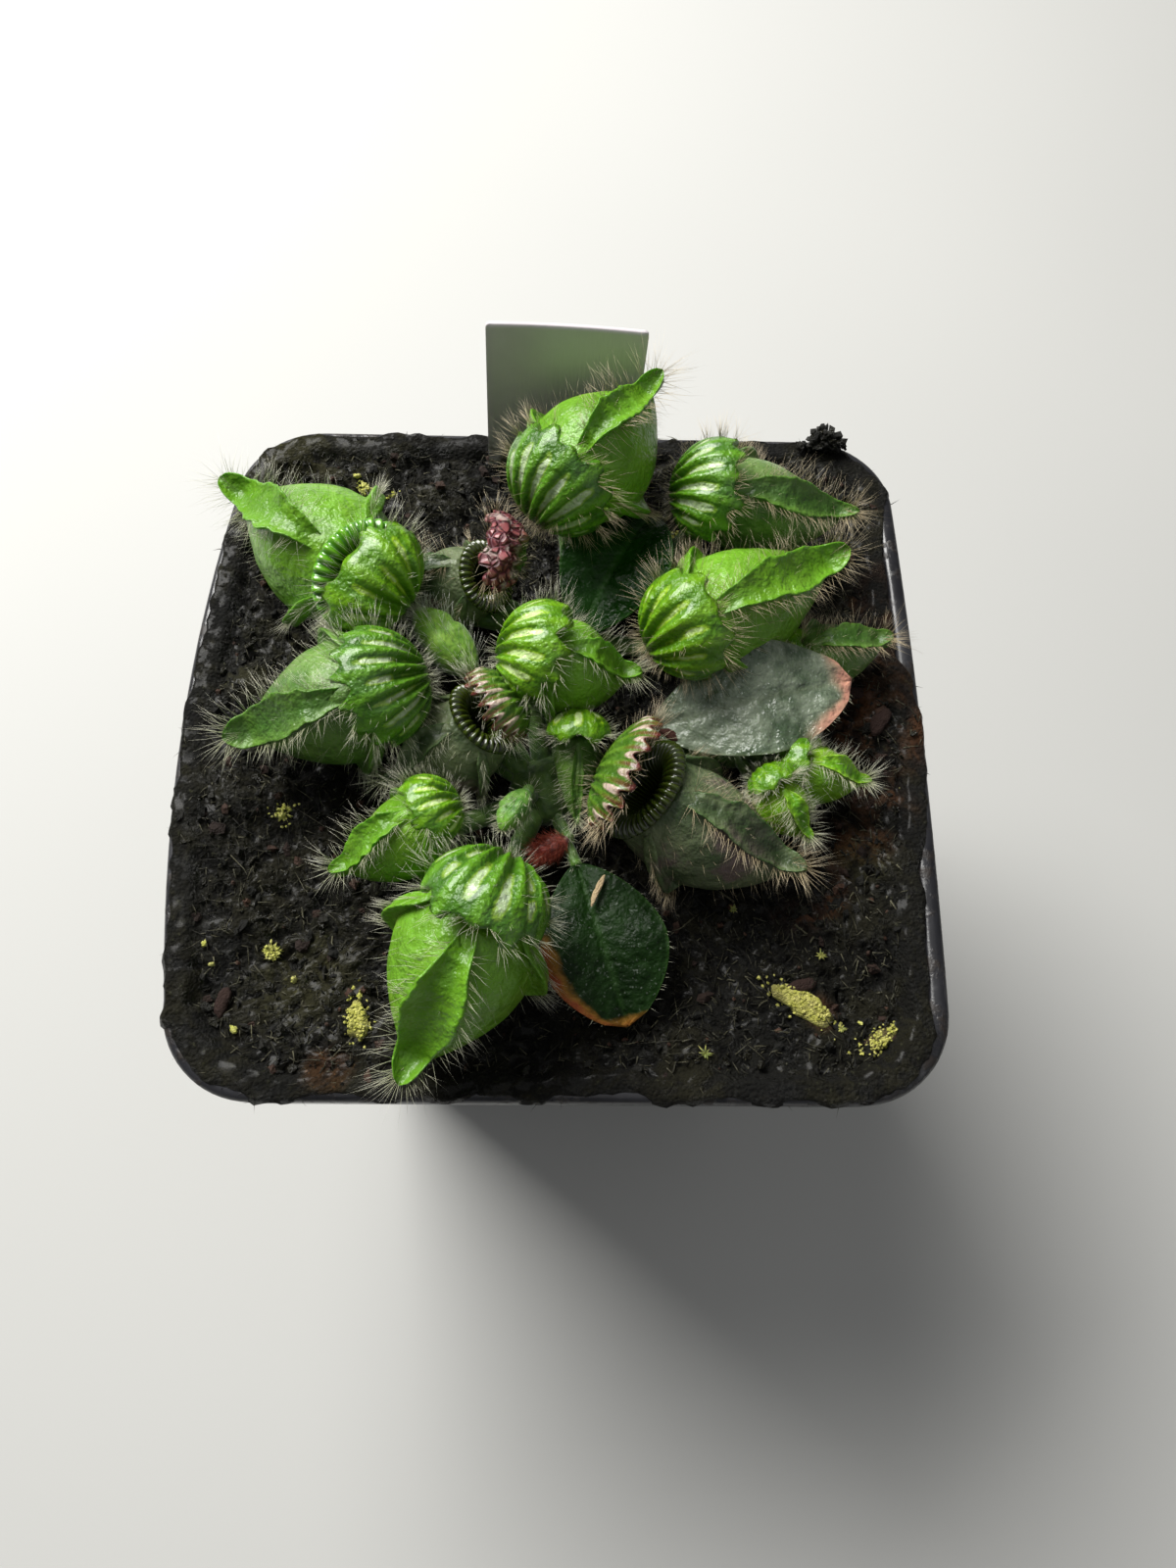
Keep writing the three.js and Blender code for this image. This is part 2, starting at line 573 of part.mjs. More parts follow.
// A ring-shaped solid from section lines that each run right round it
function closedTube(lines) {
  const [rows, count] = [lines.length, lines[0].length];
  const vertices = new Float32Array(lines.flat().flatMap((p) => [p.x, p.y, p.z]));
  const faces = [];
  for (let i = 0; i < rows; i++) {
    for (let k = 0; k < count; k++) {
      const [a, b] = [i * count + k, i * count + ((k + 1) % count)];
      const [c, d] = [((i + 1) % rows) * count + k, ((i + 1) % rows) * count + ((k + 1) % count)];
      faces.push([a, b, c], [b, d, c]);
    }
  }
  return solidFromFaces(vertices, faces);
}

// A flat leaf: a pointed oval blade, arched along its length, folded about its midrib and waved
// along its edges
function leafSolid(leaf, grow) {
  const foot = new THREE.Vector3(...leaf.foot);
  const run = new THREE.Vector3(...leaf.tip).sub(foot);
  const along = run.clone().normalize();
  const level = along.clone().cross(up).normalize();
  const turn = new THREE.Quaternion().setFromAxisAngle(along, radians(leaf.tilt));
  const across = level.applyQuaternion(turn);
  const normal = across.clone().cross(along);
  const thickness = 0.9 + 2 * grow;
  const surface = (lift) => [0, 0.08, 0.2, 0.35, 0.5, 0.65, 0.8, 0.92, 1].map((v) => {
    const oval = Math.sin(Math.PI * v ** 1.12) ** 0.72;
    const half = (leaf.width / 2) * (0.1 + 0.9 * oval) * (v === 1 ? 0.6 : 1) + grow;
    const middle = foot.clone().addScaledVector(run, v);
    if (v === 0 || v === 1) middle.addScaledVector(along, (2 * v - 1) * grow);
    middle.addScaledVector(normal, leaf.rise * 4 * v * (1 - v));
    return [-1, -0.55, 0, 0.55, 1].map((u) => {
      const wave = leaf.wave * Math.abs(u) * Math.sin(4.5 * Math.PI * v + (u > 0 ? 1.5 : 0));
      const fold = half * Math.abs(u) * Math.tan(radians(leaf.fold));
      return middle.clone().addScaledVector(across, half * u).addScaledVector(normal, fold + wave + lift);
    });
  });
  return sheetSolid(surface(thickness / 2), surface(-thickness / 2));
}

// A closed bud: an egg between its foot and its tip
function budSolid(bud, grow) {
  const foot = new THREE.Vector3(...bud.foot);
  const run = new THREE.Vector3(...bud.tip).sub(foot);
  const along = run.clone().normalize();
  const across = along.clone().cross(up).normalize();
  const normal = across.clone().cross(along);
  const rings = [0.08, 0.3, 0.6, 0.88].map((v) => {
    const radius = (bud.width / 2) * Math.sin(Math.PI * v) ** 0.55 + grow;
    const ring = [];
    for (let k = 0; k < 8; k++) {
      const angle = (Math.PI * k) / 4;
      ring.push(foot.clone().addScaledVector(run, v).addScaledVector(across, radius * Math.cos(angle))
        .addScaledVector(normal, radius * Math.sin(angle)));
    }
    return ring;
  });
  const end = (v, sign) => [foot.clone().addScaledVector(run, v).addScaledVector(along, sign * grow)];
  return solidFromRings([end(0, -1), ...rings, end(1, 1)]);
}

// A tube along a bent line, thinning from one radius to the other
function stalk(points, firstRadius, lastRadius, sides) {
  const curve = new THREE.CatmullRomCurve3(points);
  const steps = points.length - 1;
  const rings = [];
  for (let i = 0; i <= steps; i++) {
    const share = i / steps;
    const centre = curve.getPoint(share);
    const along = curve.getTangent(share);
    const level = Math.abs(along.z) > 0.9 ? new THREE.Vector3(0, 1, 0) : up;
    const across = along.clone().cross(level).normalize();
    const normal = across.clone().cross(along);
    const radius = firstRadius + (lastRadius - firstRadius) * share;
    const ring = [];
    for (let k = 0; k < sides; k++) {
      const angle = (2 * Math.PI * k) / sides;
      ring.push(centre.clone().addScaledVector(across, radius * Math.cos(angle))
        .addScaledVector(normal, radius * Math.sin(angle)));
    }
    rings.push(ring);
  }
  return solidFromRings(rings);
}

// The rhizome: three heads joined by low branches, a taproot under the main one, and one stalk to
// each pitcher, leaf and bud. A stalk keeps low, then rises to what it carries.
function rhizomeSolid(ends, grow) {
  const at = (head) => new THREE.Vector3(...heads[head].at);
  const parts = Object.values(heads).map(({ at: [x, y, z], radius }) => {
    const knob = new THREE.SphereGeometry(radius + grow, 7, 4);
    knob.rotateX(Math.PI / 2).scale(1, 1, 0.8).translate(x, y, z);
    return solidFromGeometry(knob);
  });
  const sunk = new THREE.Vector3(0, 0, -0.5);
  ["rear", "east"].forEach((head) => {
    const radius = rhizomeRadius + grow;
    parts.push(stalk([at("main").add(sunk), at(head).add(sunk)], radius, radius, 6));
  });
  const root = at("main");
  parts.push(stalk([root, root.clone().setZ(root.z - rhizomeDepth - grow)], 2.6 + grow, 1.2 + grow, 6));
  ends.forEach(({ head, end, rise, radius }) => {
    const start = at(head);
    const knee = start.clone().lerp(end, 0.72).setZ(Math.min(start.z + rise, end.z - 1));
    const sides = radius > 0.9 ? 5 : 4;
    parts.push(stalk([start, knee, end], radius * 1.15 + grow, radius + grow, sides));
  });
  return join(parts);
}

function stalkEnds() {
  const fromPitchers = pitchers.map((pitcher) => {
    const frame = pitcherFrame(pitcher);
    const end = pouchPoint(pitcher, frame, 0.2, Math.PI, -0.5);
    const radius = Math.min(stalkRadius, pitcher.width * 0.13);
    return { head: pitcher.stalk, end, rise: 2.4, radius };
  });
  const fromOthers = [...leaves, ...buds].map((piece) => ({
    head: piece.stalk, end: new THREE.Vector3(...piece.foot), rise: 2.4, radius: 0.7,
  }));
  return [...fromPitchers, ...fromOthers];
}

// A flake: a flat chip whose outline has seven corners, uneven by a fixed rule
function flakeSolid({ at: [x, y], size: [length, width, height], turn }, grow) {
  const shape = new THREE.Shape();
  const corners = 7;
  for (let k = 0; k < corners; k++) {
    const angle = (2 * Math.PI * k) / corners;
    const reach = 1 + 0.22 * Math.sin(3.3 * k);
    const alongChip = ((length / 2) * reach + grow) * Math.cos(angle);
    const acrossChip = ((width / 2) * reach + grow) * Math.sin(angle);
    if (k === 0) shape.moveTo(alongChip, acrossChip);
    else shape.lineTo(alongChip, acrossChip);
  }
  shape.closePath();
  const chip = new THREE.ExtrudeGeometry(shape, { depth: height + 2 * grow, bevelEnabled: false });
  chip.translate(0, 0, -0.4 * height - grow).rotateZ(radians(turn)).translate(x, y, peatTop(x, y));
  return solidFromGeometry(chip);
}

// The label leans along the pot's back wall. Its heights are counted from the rim.
function labelSolid(grow) {
  const { width, thickness, top, foot, x, y, lean, turn } = label;
  const point = 7;
  const shape = new THREE.Shape();
  shape.moveTo(-width / 2 - grow, top + grow);
  shape.lineTo(-width / 2 - grow, foot + point);
  shape.lineTo(0, foot - grow);
  shape.lineTo(width / 2 + grow, foot + point);
  shape.lineTo(width / 2 + grow, top + grow);
  shape.closePath();
  const strip = new THREE.ExtrudeGeometry(shape, { depth: thickness + 2 * grow, bevelEnabled: false });
  strip.translate(0, 0, -thickness / 2 - grow).rotateZ(radians(turn));
  strip.rotateX(Math.PI / 2 - radians(lean)).translate(x, y, potHeight);
  return solidFromGeometry(strip);
}

// Every plant piece with its solid and a copy grown by the play. A piece lower in the list gives
// way where it would touch one above it, so that no two overlap; a pitcher's own pieces are shaped
// clear of each other.
function plantPieces() {
  const pitcherPieces = pitchers.flatMap((pitcher) => {
    const withered = pitcher.name === "withered";
    const old = withered || ["open_right", "open_left", "right_back"].includes(pitcher.name);
    const own = [
      { name: `lid_${pitcher.name}`, make: (grow) => lidSolid(pitcher, grow),
        look: withered ? finish.witheredLid : finish.lid },
      { name: `pouch_${pitcher.name}`, make: (grow) => pouchSolid(pitcher, grow),
        look: old ? finish.olderPouch : finish.pouch },
    ];
    if (pitcher.teeth) {
      own.push({ name: `mouth_${pitcher.name}`, make: () => mouthRing(pitcher), look: finish.mouthRing });
    }
    return own.map((piece) => ({ ...piece, owner: pitcher.name }));
  });
  const leafPieces = leaves.map((leaf) => ({
    name: `leaf_${leaf.name}`, make: (grow) => leafSolid(leaf, grow), owner: leaf.name + " leaf",
    look: leaf.name === "grey" ? finish.greyLeaf : finish.leaf,
  }));
  const budPieces = buds.map((bud) => ({
    name: `bud_${bud.name}`, make: (grow) => budSolid(bud, grow), owner: bud.name + " bud",
    look: bud.name === "red" ? finish.redBud : finish.bud,
  }));
  return [...pitcherPieces, ...leafPieces, ...budPieces];
}

// Each piece's solid, cut by the grown copies of the other pieces above it in the list
function cutClear(pieces) {
  const done = [];
  pieces.forEach((piece) => {
    let solid = piece.make(0);
    done.filter((other) => other.owner !== piece.owner).forEach((other) => {
      solid = solid.subtract(other.grown);
    });
    done.push({ ...piece, solid: mainBody(solid), grown: piece.make(play) });
  });
  return done;
}

const plant = cutClear(plantPieces());
const allGrown = plant.map((piece) => piece.grown);
const flakeSolids = flakes.map((flake) => flakeSolid(flake, 0));
const flakesGrown = flakes.map((flake) => flakeSolid(flake, play));
const rhizome = mainBody(cutAll(rhizomeSolid(stalkEnds(), 0), allGrown));
const labelGrown = labelSolid(play);
const rhizomeGrown = rhizomeSolid(stalkEnds(), play);
const peat = mainBody(cutAll(peatSolid(), [...allGrown, ...flakesGrown, labelGrown, rhizomeGrown]));

const group = new THREE.Group();
plant.forEach(({ name, solid, look }) => group.add(meshOf(name, solid, look)));
group.add(meshOf("rhizome", rhizome, finish.rhizome));
flakeSolids.forEach((solid, i) => group.add(meshOf(`flake_${flakes[i].name}`, solid, finish.flake)));
group.add(meshOf("label", labelSolid(0), finish.label));
group.add(meshOf("peat", peat, finish.peat));
group.add(meshOf("pot", potSolid(), finish.pot));

export default group;
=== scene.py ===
# A potted Albany pitcher plant in a square plastic pot, for Blender 4.5.
# Shapes are worked out in millimetres in the frame of the solids and stored in metres.
import bpy
import numpy as np
from mathutils import Matrix, Vector


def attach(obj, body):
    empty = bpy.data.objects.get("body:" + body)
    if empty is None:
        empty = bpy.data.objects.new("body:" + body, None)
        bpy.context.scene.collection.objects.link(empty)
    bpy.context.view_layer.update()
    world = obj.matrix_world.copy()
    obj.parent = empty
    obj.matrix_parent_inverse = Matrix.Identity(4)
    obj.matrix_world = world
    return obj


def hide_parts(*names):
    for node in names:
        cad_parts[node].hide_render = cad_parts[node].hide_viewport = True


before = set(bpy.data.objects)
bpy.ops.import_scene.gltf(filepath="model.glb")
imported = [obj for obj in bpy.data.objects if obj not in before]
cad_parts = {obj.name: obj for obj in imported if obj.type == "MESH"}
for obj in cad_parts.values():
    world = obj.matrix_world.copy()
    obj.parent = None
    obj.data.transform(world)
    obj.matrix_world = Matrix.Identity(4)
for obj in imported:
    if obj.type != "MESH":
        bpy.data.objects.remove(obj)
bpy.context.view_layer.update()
millimetre = 0.001
up = np.array([0.0, 0.0, 1.0])


# numbers, noise and frames along a line

def unit(vectors):
    # each vector over its own length
    return vectors / np.maximum(np.linalg.norm(vectors, axis=-1, keepdims=True), 1e-9)


def blendStep(low, high, x):
    # 0 below low, 1 above high, with a smooth cubic between them
    t = np.clip((np.asarray(x, float) - low) / (high - low), 0, 1)
    return t * t * (3 - 2 * t)


def noiseAt(points, seed):
    # value noise: random numbers on a unit lattice, mixed by smooth weights; from -1 to 1
    cell = np.floor(points).astype(np.int64)
    part = points - cell
    part = part * part * (3 - 2 * part)
    total = 0
    for corner in range(8):
        step = np.array([corner & 1, corner >> 1 & 1, corner >> 2 & 1])
        c = cell + step
        mixed = c[..., 0] * 374761393 + c[..., 1] * 668265263 + c[..., 2] * 1442695041 + seed * 97531
        mixed = mixed & 0x7FFFFFFF
        mixed = ((mixed ^ (mixed >> 13)) * 1274126177) & 0x7FFFFFFF
        value = ((mixed ^ (mixed >> 16)) & 0xFFFF) / 65535.0
        weight = np.prod(np.where(step == 1, part, 1 - part), axis=-1)
        total = total + value * weight
    return total * 2 - 1


def rough(points, size, octaves, seed):
    # noise summed over octaves, each half as large and half as strong
    total, strength = 0, 1.0
    for octave in range(octaves):
        total = total + strength * noiseAt(points * (2 ** octave / size), seed + octave)
        strength *= 0.5
    return total


def sideways(ways):
    # two unit vectors square to each way
    helper = np.where(np.abs(ways[..., 2:3]) > 0.9, np.array([0.0, 1.0, 0.0]), up)
    first = unit(np.cross(ways, helper))
    return first, np.cross(ways, first)


def spun(x, y, angle):
    # a flat turn: x·cos − y·sin and x·sin + y·cos
    c, s = np.cos(angle), np.sin(angle)
    return x * c - y * s, x * s + y * c


# meshes from whole arrays

def sheetFaces(rows, columns, wrapped):
    # quads between neighbouring rows of a grid, which may close on itself across
    here = np.arange(rows - 1)[:, None] * columns
    across = np.arange(columns if wrapped else columns - 1)
    after = (across + 1) % columns
    quads = np.stack([here + across, here + after, here + columns + after, here + columns + across], -1)
    return quads.reshape(-1, 4)


def endFans(rows, columns):
    # triangles from the first and the last ring to two more points, which follow the grid's own
    k = np.arange(columns)
    after = (k + 1) % columns
    last = (rows - 1) * columns
    middle = np.full(columns, rows * columns)
    return np.concatenate([np.stack([after, k, middle], -1),
                           np.stack([last + k, last + after, middle + 1], -1)])


def gridMarks(marks, rows, columns):
    # each mark as one number for every point of a grid
    return {name: np.broadcast_to(value, (rows, columns)).astype(float) for name, value in marks.items()}


noTris = np.zeros((0, 3), int)


def closedShell(rings, **marks):
    # rings of points joined by quads, each end closed by a fan to its middle
    rows, columns = rings.shape[:2]
    ends = np.stack([rings[0].mean(0), rings[-1].mean(0)])
    marks = {name: np.concatenate([value.ravel(), [value[0].mean(), value[-1].mean()]])
             for name, value in gridMarks(marks, rows, columns).items()}
    return outward({"points": np.concatenate([rings.reshape(-1, 3), ends]), "marks": marks,
                    "quads": sheetFaces(rows, columns, True), "tris": endFans(rows, columns)})


def closedLoop(lines, **marks):
    # section lines that run right round, joined in a circle of sections: a ring without ends
    rows, columns = lines.shape[:2]
    wrapped = np.concatenate([np.arange(rows * columns).reshape(rows, columns), np.arange(columns)[None]])
    k = (np.arange(columns) + 1) % columns
    quads = np.stack([wrapped[:-1], wrapped[:-1][:, k], wrapped[1:][:, k], wrapped[1:]], -1).reshape(-1, 4)
    marks = {name: value.ravel() for name, value in gridMarks(marks, rows, columns).items()}
    return outward({"points": lines.reshape(-1, 3), "quads": quads, "tris": noTris, "marks": marks})


def closedSheet(top, bottom, **marks):
    # a top and a bottom grid of points, joined round their border
    rows, columns = top.shape[:2]
    half = rows * columns
    index = np.arange(half).reshape(rows, columns)
    faces = sheetFaces(rows, columns, False)
    border = np.concatenate([index[0, :-1], index[:-1, -1], index[-1, :0:-1], index[:0:-1, 0]])
    after = np.roll(border, -1)
    rim = np.stack([border, border + half, after + half, after], -1)
    marks = {name: np.tile(value.ravel(), 2) for name, value in gridMarks(marks, rows, columns).items()}
    return outward({"points": np.concatenate([top.reshape(-1, 3), bottom.reshape(-1, 3)]), "tris": noTris,
                    "quads": np.concatenate([faces, faces[:, ::-1] + half, rim]), "marks": marks})


def outward(bit):
    # turns all faces round where the signed volume comes out negative
    p, q, t = bit["points"], bit["quads"], bit["tris"]
    tris = np.concatenate([q[:, [0, 1, 2]], q[:, [0, 2, 3]], t]) if len(q) else t
    a, b, c = p[tris[:, 0]], p[tris[:, 1]], p[tris[:, 2]]
    if (np.cross(a - p.mean(0), b - p.mean(0)) * (c - p.mean(0))).sum() < 0:
        bit["quads"], bit["tris"] = q[:, ::-1], t[:, ::-1]
    return bit


def cones(roots, ways, lengths, width, curl, rng, sides=3, steps=2):
    # thin cones along root + way·L·t + bend·L·t², their width falling to a point
    count = len(roots)
    t = np.linspace(0, 1, steps + 1)
    lengths = np.broadcast_to(lengths, count)[:, None, None]
    width = np.broadcast_to(width, count)[:, None, None, None]
    bend = unit(rng.normal(size=(count, 3))) * curl
    path = roots[:, None] + lengths * (ways[:, None] * t[:, None] + bend[:, None] * (t ** 2)[:, None])
    first, second = sideways(ways)
    angle = 2 * np.pi * np.arange(sides) / sides
    spoke = first[:, None] * np.cos(angle)[:, None] + second[:, None] * np.sin(angle)[:, None]
    rings = path[:, :steps, None] + spoke[:, None] * width * (1 - 0.8 * t[:steps])[None, :, None, None]
    points = np.concatenate([rings.reshape(count, -1, 3), path[:, -1:]], 1)
    size = steps * sides + 1
    base = (np.arange(count) * size)[:, None]
    quads = (sheetFaces(steps, sides, True)[:, ::-1].reshape(1, -1) + base).reshape(-1, 4)
    k = np.arange(sides)
    after = (k + 1) % sides
    low = (steps - 1) * sides
    tips = np.stack([low + after, low + k, np.full(sides, size - 1)], -1)
    foot = np.stack([np.zeros(sides - 2, int), k[1:-1], k[2:]], -1)
    tris = (np.concatenate([tips, foot]).reshape(1, -1) + base).reshape(-1, 3)
    along = np.append(np.repeat(t[:steps], sides), 1.0)
    marks = {"along": np.tile(along, count), "chance": np.repeat(rng.random(count), size)}
    return outward({"points": points.reshape(-1, 3), "quads": quads, "tris": tris, "marks": marks})


def crumbs(centres, sizes, rng, rings=3, around=5, flat=0.75, uneven=0.35):
    # lumpy grains: small spheres whose radius is drawn unevenly, turned at random
    count = len(centres)
    polar = np.pi * (np.arange(rings) + 0.5) / rings
    angle = 2 * np.pi * np.arange(around) / around
    ball = np.stack([np.sin(polar)[:, None] * np.cos(angle), np.sin(polar)[:, None] * np.sin(angle),
                     np.cos(polar)[:, None] * np.ones(around)], -1).reshape(-1, 3)
    ball = np.concatenate([ball, [[0, 0, 1.0], [0, 0, -1.0]]])
    turn = np.linalg.qr(rng.normal(size=(count, 3, 3)))[0]
    turn[:, :, 0] *= np.sign(np.linalg.det(turn))[:, None]
    swell = 1 + uneven * (rng.random((count, len(ball))) * 2 - 1)
    stretch = np.stack([1 + 0.5 * rng.random(count), np.ones(count),
                        flat * (0.7 + 0.5 * rng.random(count))], -1)
    local = ball[None] * swell[..., None] * stretch[:, None]
    points = np.einsum("nij,nkj->nki", turn, local) * np.asarray(sizes)[:, None, None] / 2 + centres[:, None]
    base = (np.arange(count) * len(ball))[:, None]
    quads = (sheetFaces(rings, around, True).reshape(1, -1) + base).reshape(-1, 4)
    tris = (endFans(rings, around).reshape(1, -1) + base).reshape(-1, 3)
    marks = {"chance": np.repeat(rng.random(count), len(ball))}
    return outward({"points": points.reshape(-1, 3), "quads": quads, "tris": tris, "marks": marks})


def gather(bits):
    # several closed bits as one list of points and faces, with 0 for a mark that a bit lacks
    offsets = np.cumsum([0] + [len(bit["points"]) for bit in bits])
    joined = {kind: np.concatenate([bit[kind] + offset for bit, offset in zip(bits, offsets)])
              for kind in ("quads", "tris")}
    marks = {name: np.concatenate([bit["marks"].get(name, np.zeros(len(bit["points"]))) for bit in bits])
             for name in sorted({name for bit in bits for name in bit["marks"]})}
    return {"points": np.concatenate([bit["points"] for bit in bits]), "marks": marks, **joined}


def plainObject(name, bits, material, flat=False):
    # puts points in metres, faces and marks into one mesh object
    bit = gather(bits)
    mesh = bpy.data.meshes.new(name)
    quads, tris = bit["quads"].astype(np.int32), bit["tris"].astype(np.int32)
    mesh.vertices.add(len(bit["points"]))
    mesh.vertices.foreach_set("co", (bit["points"] * millimetre).astype(np.float32).ravel())
    corners = np.concatenate([quads.ravel(), tris.ravel()])
    starts = np.concatenate([np.arange(len(quads)) * 4, len(quads) * 4 + np.arange(len(tris)) * 3])
    mesh.loops.add(len(corners))
    mesh.loops.foreach_set("vertex_index", corners)
    mesh.polygons.add(len(starts))
    mesh.polygons.foreach_set("loop_start", starts.astype(np.int32))
    mesh.polygons.foreach_set("use_smooth", np.full(len(starts), not flat))
    for mark, values in bit["marks"].items():
        mesh.attributes.new(mark, "FLOAT", "POINT").data.foreach_set("value", values.astype(np.float32))
    mesh.update(calc_edges=True)
    mesh.validate()
    if material:
        mesh.materials.append(material)
    piece = bpy.data.objects.new(name, mesh)
    bpy.context.scene.collection.objects.link(piece)
    return piece


def makePiece(name, bits, material, replaced=(), flat=False):
    # a mesh object that rides on the pot, takes the given material and hides the solids it stands for
    piece = plainObject(name, bits, material, flat)
    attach(piece, "root")
    if replaced:
        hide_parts(*replaced)
    return piece


# camera, lights and world

camera = {"azimuth": -3.1, "elevation": 69.3, "roll": 3.6, "distance": 130.0,
          "target": (3.2, -7.3, 95.0), "focalPixels": 1080.0, "longSide": 1600.0, "sensor": 36.0,
          "nearest": 0.005}


def placeCamera():
    # looks from the target back along azimuth and elevation, turned about its own axis by the roll
    az, el, roll = (np.radians(camera[k]) for k in ("azimuth", "elevation", "roll"))
    back = np.array([np.sin(az) * np.cos(el), -np.cos(az) * np.cos(el), np.sin(el)])
    right = np.array([np.cos(az), np.sin(az), 0])
    high = np.cross(back, right)
    turnedRight = right * np.cos(roll) + high * np.sin(roll)
    turnedUp = high * np.cos(roll) - right * np.sin(roll)
    place = (np.array(camera["target"]) + back * camera["distance"]) * millimetre
    data = bpy.data.cameras.new("photoCamera")
    data.sensor_width = camera["sensor"]
    data.lens = camera["focalPixels"] / camera["longSide"] * camera["sensor"]
    data.clip_start = camera["nearest"]
    eye = bpy.data.objects.new("photoCamera", data)
    columns = np.stack([turnedRight, turnedUp, back], -1)
    eye.matrix_world = Matrix([[*columns[i], place[i]] for i in range(3)] + [[0, 0, 0, 1]])
    bpy.context.scene.collection.objects.link(eye)
    bpy.context.scene.camera = eye


lights = {
    "window": {"place": (-0.34, 0.42, 0.62), "size": (0.55, 0.4), "power": 13.5, "colour": (1.0, 0.99, 0.96)},
    "ceiling": {"place": (0.05, -0.1, 0.95), "size": (0.9, 0.9), "power": 1.1, "colour": (1.0, 1.0, 1.0)},
    "room": {"place": (0.6, -0.45, 0.5), "size": (0.6, 0.6), "power": 0.45, "colour": (0.96, 0.98, 1.0)},
}
sky = {"strength": 0.12, "colour": (0.93, 0.95, 0.97)}
lightsAim = (0, 0, 0.09)  # the middle of the plant, in metres


def placeLights():
    # three soft rectangles that face the plant, and an even pale world
    for name, spec in lights.items():
        data = bpy.data.lights.new(name, "AREA")
        data.shape = "RECTANGLE"
        data.size, data.size_y = spec["size"]
        data.energy = spec["power"]
        data.color = spec["colour"]
        lamp = bpy.data.objects.new(name, data)
        lamp.location = spec["place"]
        aim = Vector(lightsAim) - Vector(spec["place"])
        lamp.rotation_euler = aim.to_track_quat("-Z", "Y").to_euler()
        bpy.context.scene.collection.objects.link(lamp)
    world = bpy.data.worlds.new("paleRoom")
    world.use_nodes = True
    background = world.node_tree.nodes["Background"]
    background.inputs["Color"].default_value = (*sky["colour"], 1)
    background.inputs["Strength"].default_value = sky["strength"]
    bpy.context.scene.world = world


# shader groups and materials

plainSockets = {"specular": "Specular IOR Level", "coat": "Coat Weight", "coatRoughness": "Coat Roughness",
                "sheen": "Sheen Weight"}


class Tree:
    # a short way to add nodes to one node tree and join their sockets
    def __init__(self, tree):
        self.tree = tree
        self.shader = tree.nodes.get("Principled BSDF")

    def feed(self, socket, value):
        # a link from another socket, or a plain value; None leaves the socket as it is
        if isinstance(value, bpy.types.NodeSocket):
            self.tree.links.new(value, socket)
        elif value is not None:
            isColour = isinstance(value, tuple) and len(value) == 3 and socket.type == "RGBA"
            socket.default_value = (*value, 1) if isColour else value

    def node(self, kind, settings=None, **inputs):
        made = self.tree.nodes.new(kind)
        for name, value in (settings or {}).items():
            setattr(made, name, value)
        for name, value in inputs.items():
            self.feed(made.inputs[name], value)
        return made

    def numbered(self, kind, settings, inputs):
        # a node whose sockets share their names, so that they are fed by number
        made = self.node(kind, settings)
        for index, value in inputs.items():
            self.feed(made.inputs[index], value)
        return made.outputs

    def mix(self, mask, low, high):
        return self.numbered("ShaderNodeMix", {"data_type": "RGBA"}, {0: mask, 6: low, 7: high})[2]

    def layered(self, base, *layers):
        # lays each colour over the base where its mask, times its share if it has one, is high
        for mask, share, colour in layers:
            base = self.mix(mask if share is None else self.times(mask, share), base, colour)
        return base

    def maths(self, kind, *values):
        return self.numbered("ShaderNodeMath", {"operation": kind}, dict(enumerate(values)))[0]

    def times(self, a, b):
        return self.maths("MULTIPLY", a, b)

    def span(self, value, low, high, first=0.0, last=1.0):
        # first below low, last above high, with a smooth step between them
        return self.numbered("ShaderNodeMapRange", {"clamp": True, "interpolation_type": "SMOOTHSTEP"},
                             dict(enumerate((value, low, high, first, last))))[0]

    def mark(self, name):
        return self.node("ShaderNodeAttribute", {"attribute_name": name}).outputs["Fac"]

    def place(self):
        return self.node("ShaderNodeTexCoord").outputs["Object"]

    def stretched(self, place, scale):
        return self.node("ShaderNodeMapping", Vector=place, Scale=scale).outputs["Vector"]

    def noise(self, scale, detail=None, place=None, roughness=None):
        place = self.place() if place is None else place
        return self.node("ShaderNodeTexNoise", Vector=place, Scale=scale, Detail=detail,
                         Roughness=roughness).outputs["Fac"]

    def bump(self, height, strength, distance, normal=None, invert=False):
        return self.node("ShaderNodeBump", {"invert": invert}, Strength=strength, Distance=distance,
                         Height=height, Normal=normal).outputs["Normal"]

    def group(self, tree, **inputs):
        return self.node("ShaderNodeGroup", {"node_tree": tree}, **inputs).outputs

    def patch(self, scale, low, high, detail=None):
        return self.group(patches, Scale=scale, Low=low, High=high, Detail=detail)["Mask"]

    def skin(self, cellScale, cellDepth, dentScale, dentDepth):
        return self.group(leafSkin, **{"Cell Scale": cellScale, "Cell Depth": cellDepth,
                                       "Dent Scale": dentScale, "Dent Depth": dentDepth})["Normal"]

    def dress(self, colour, roughness, normal=None, **others):
        # joins what changes over the surface to the shader, and sets the rest on its own sockets
        for name, value in (("Base Color", colour), ("Roughness", roughness), ("Normal", normal)):
            self.feed(self.shader.inputs[name], value)
        for name, value in others.items():
            self.feed(self.shader.inputs[plainSockets[name]], value)

    def soften(self, amount, scale=0.0012, radius=(0.45, 1.0, 0.2)):
        # light that passes a little way through living tissue; scale is in metres
        for name, value in (("Weight", amount), ("Radius", radius), ("Scale", scale)):
            self.shader.inputs["Subsurface " + name].default_value = value


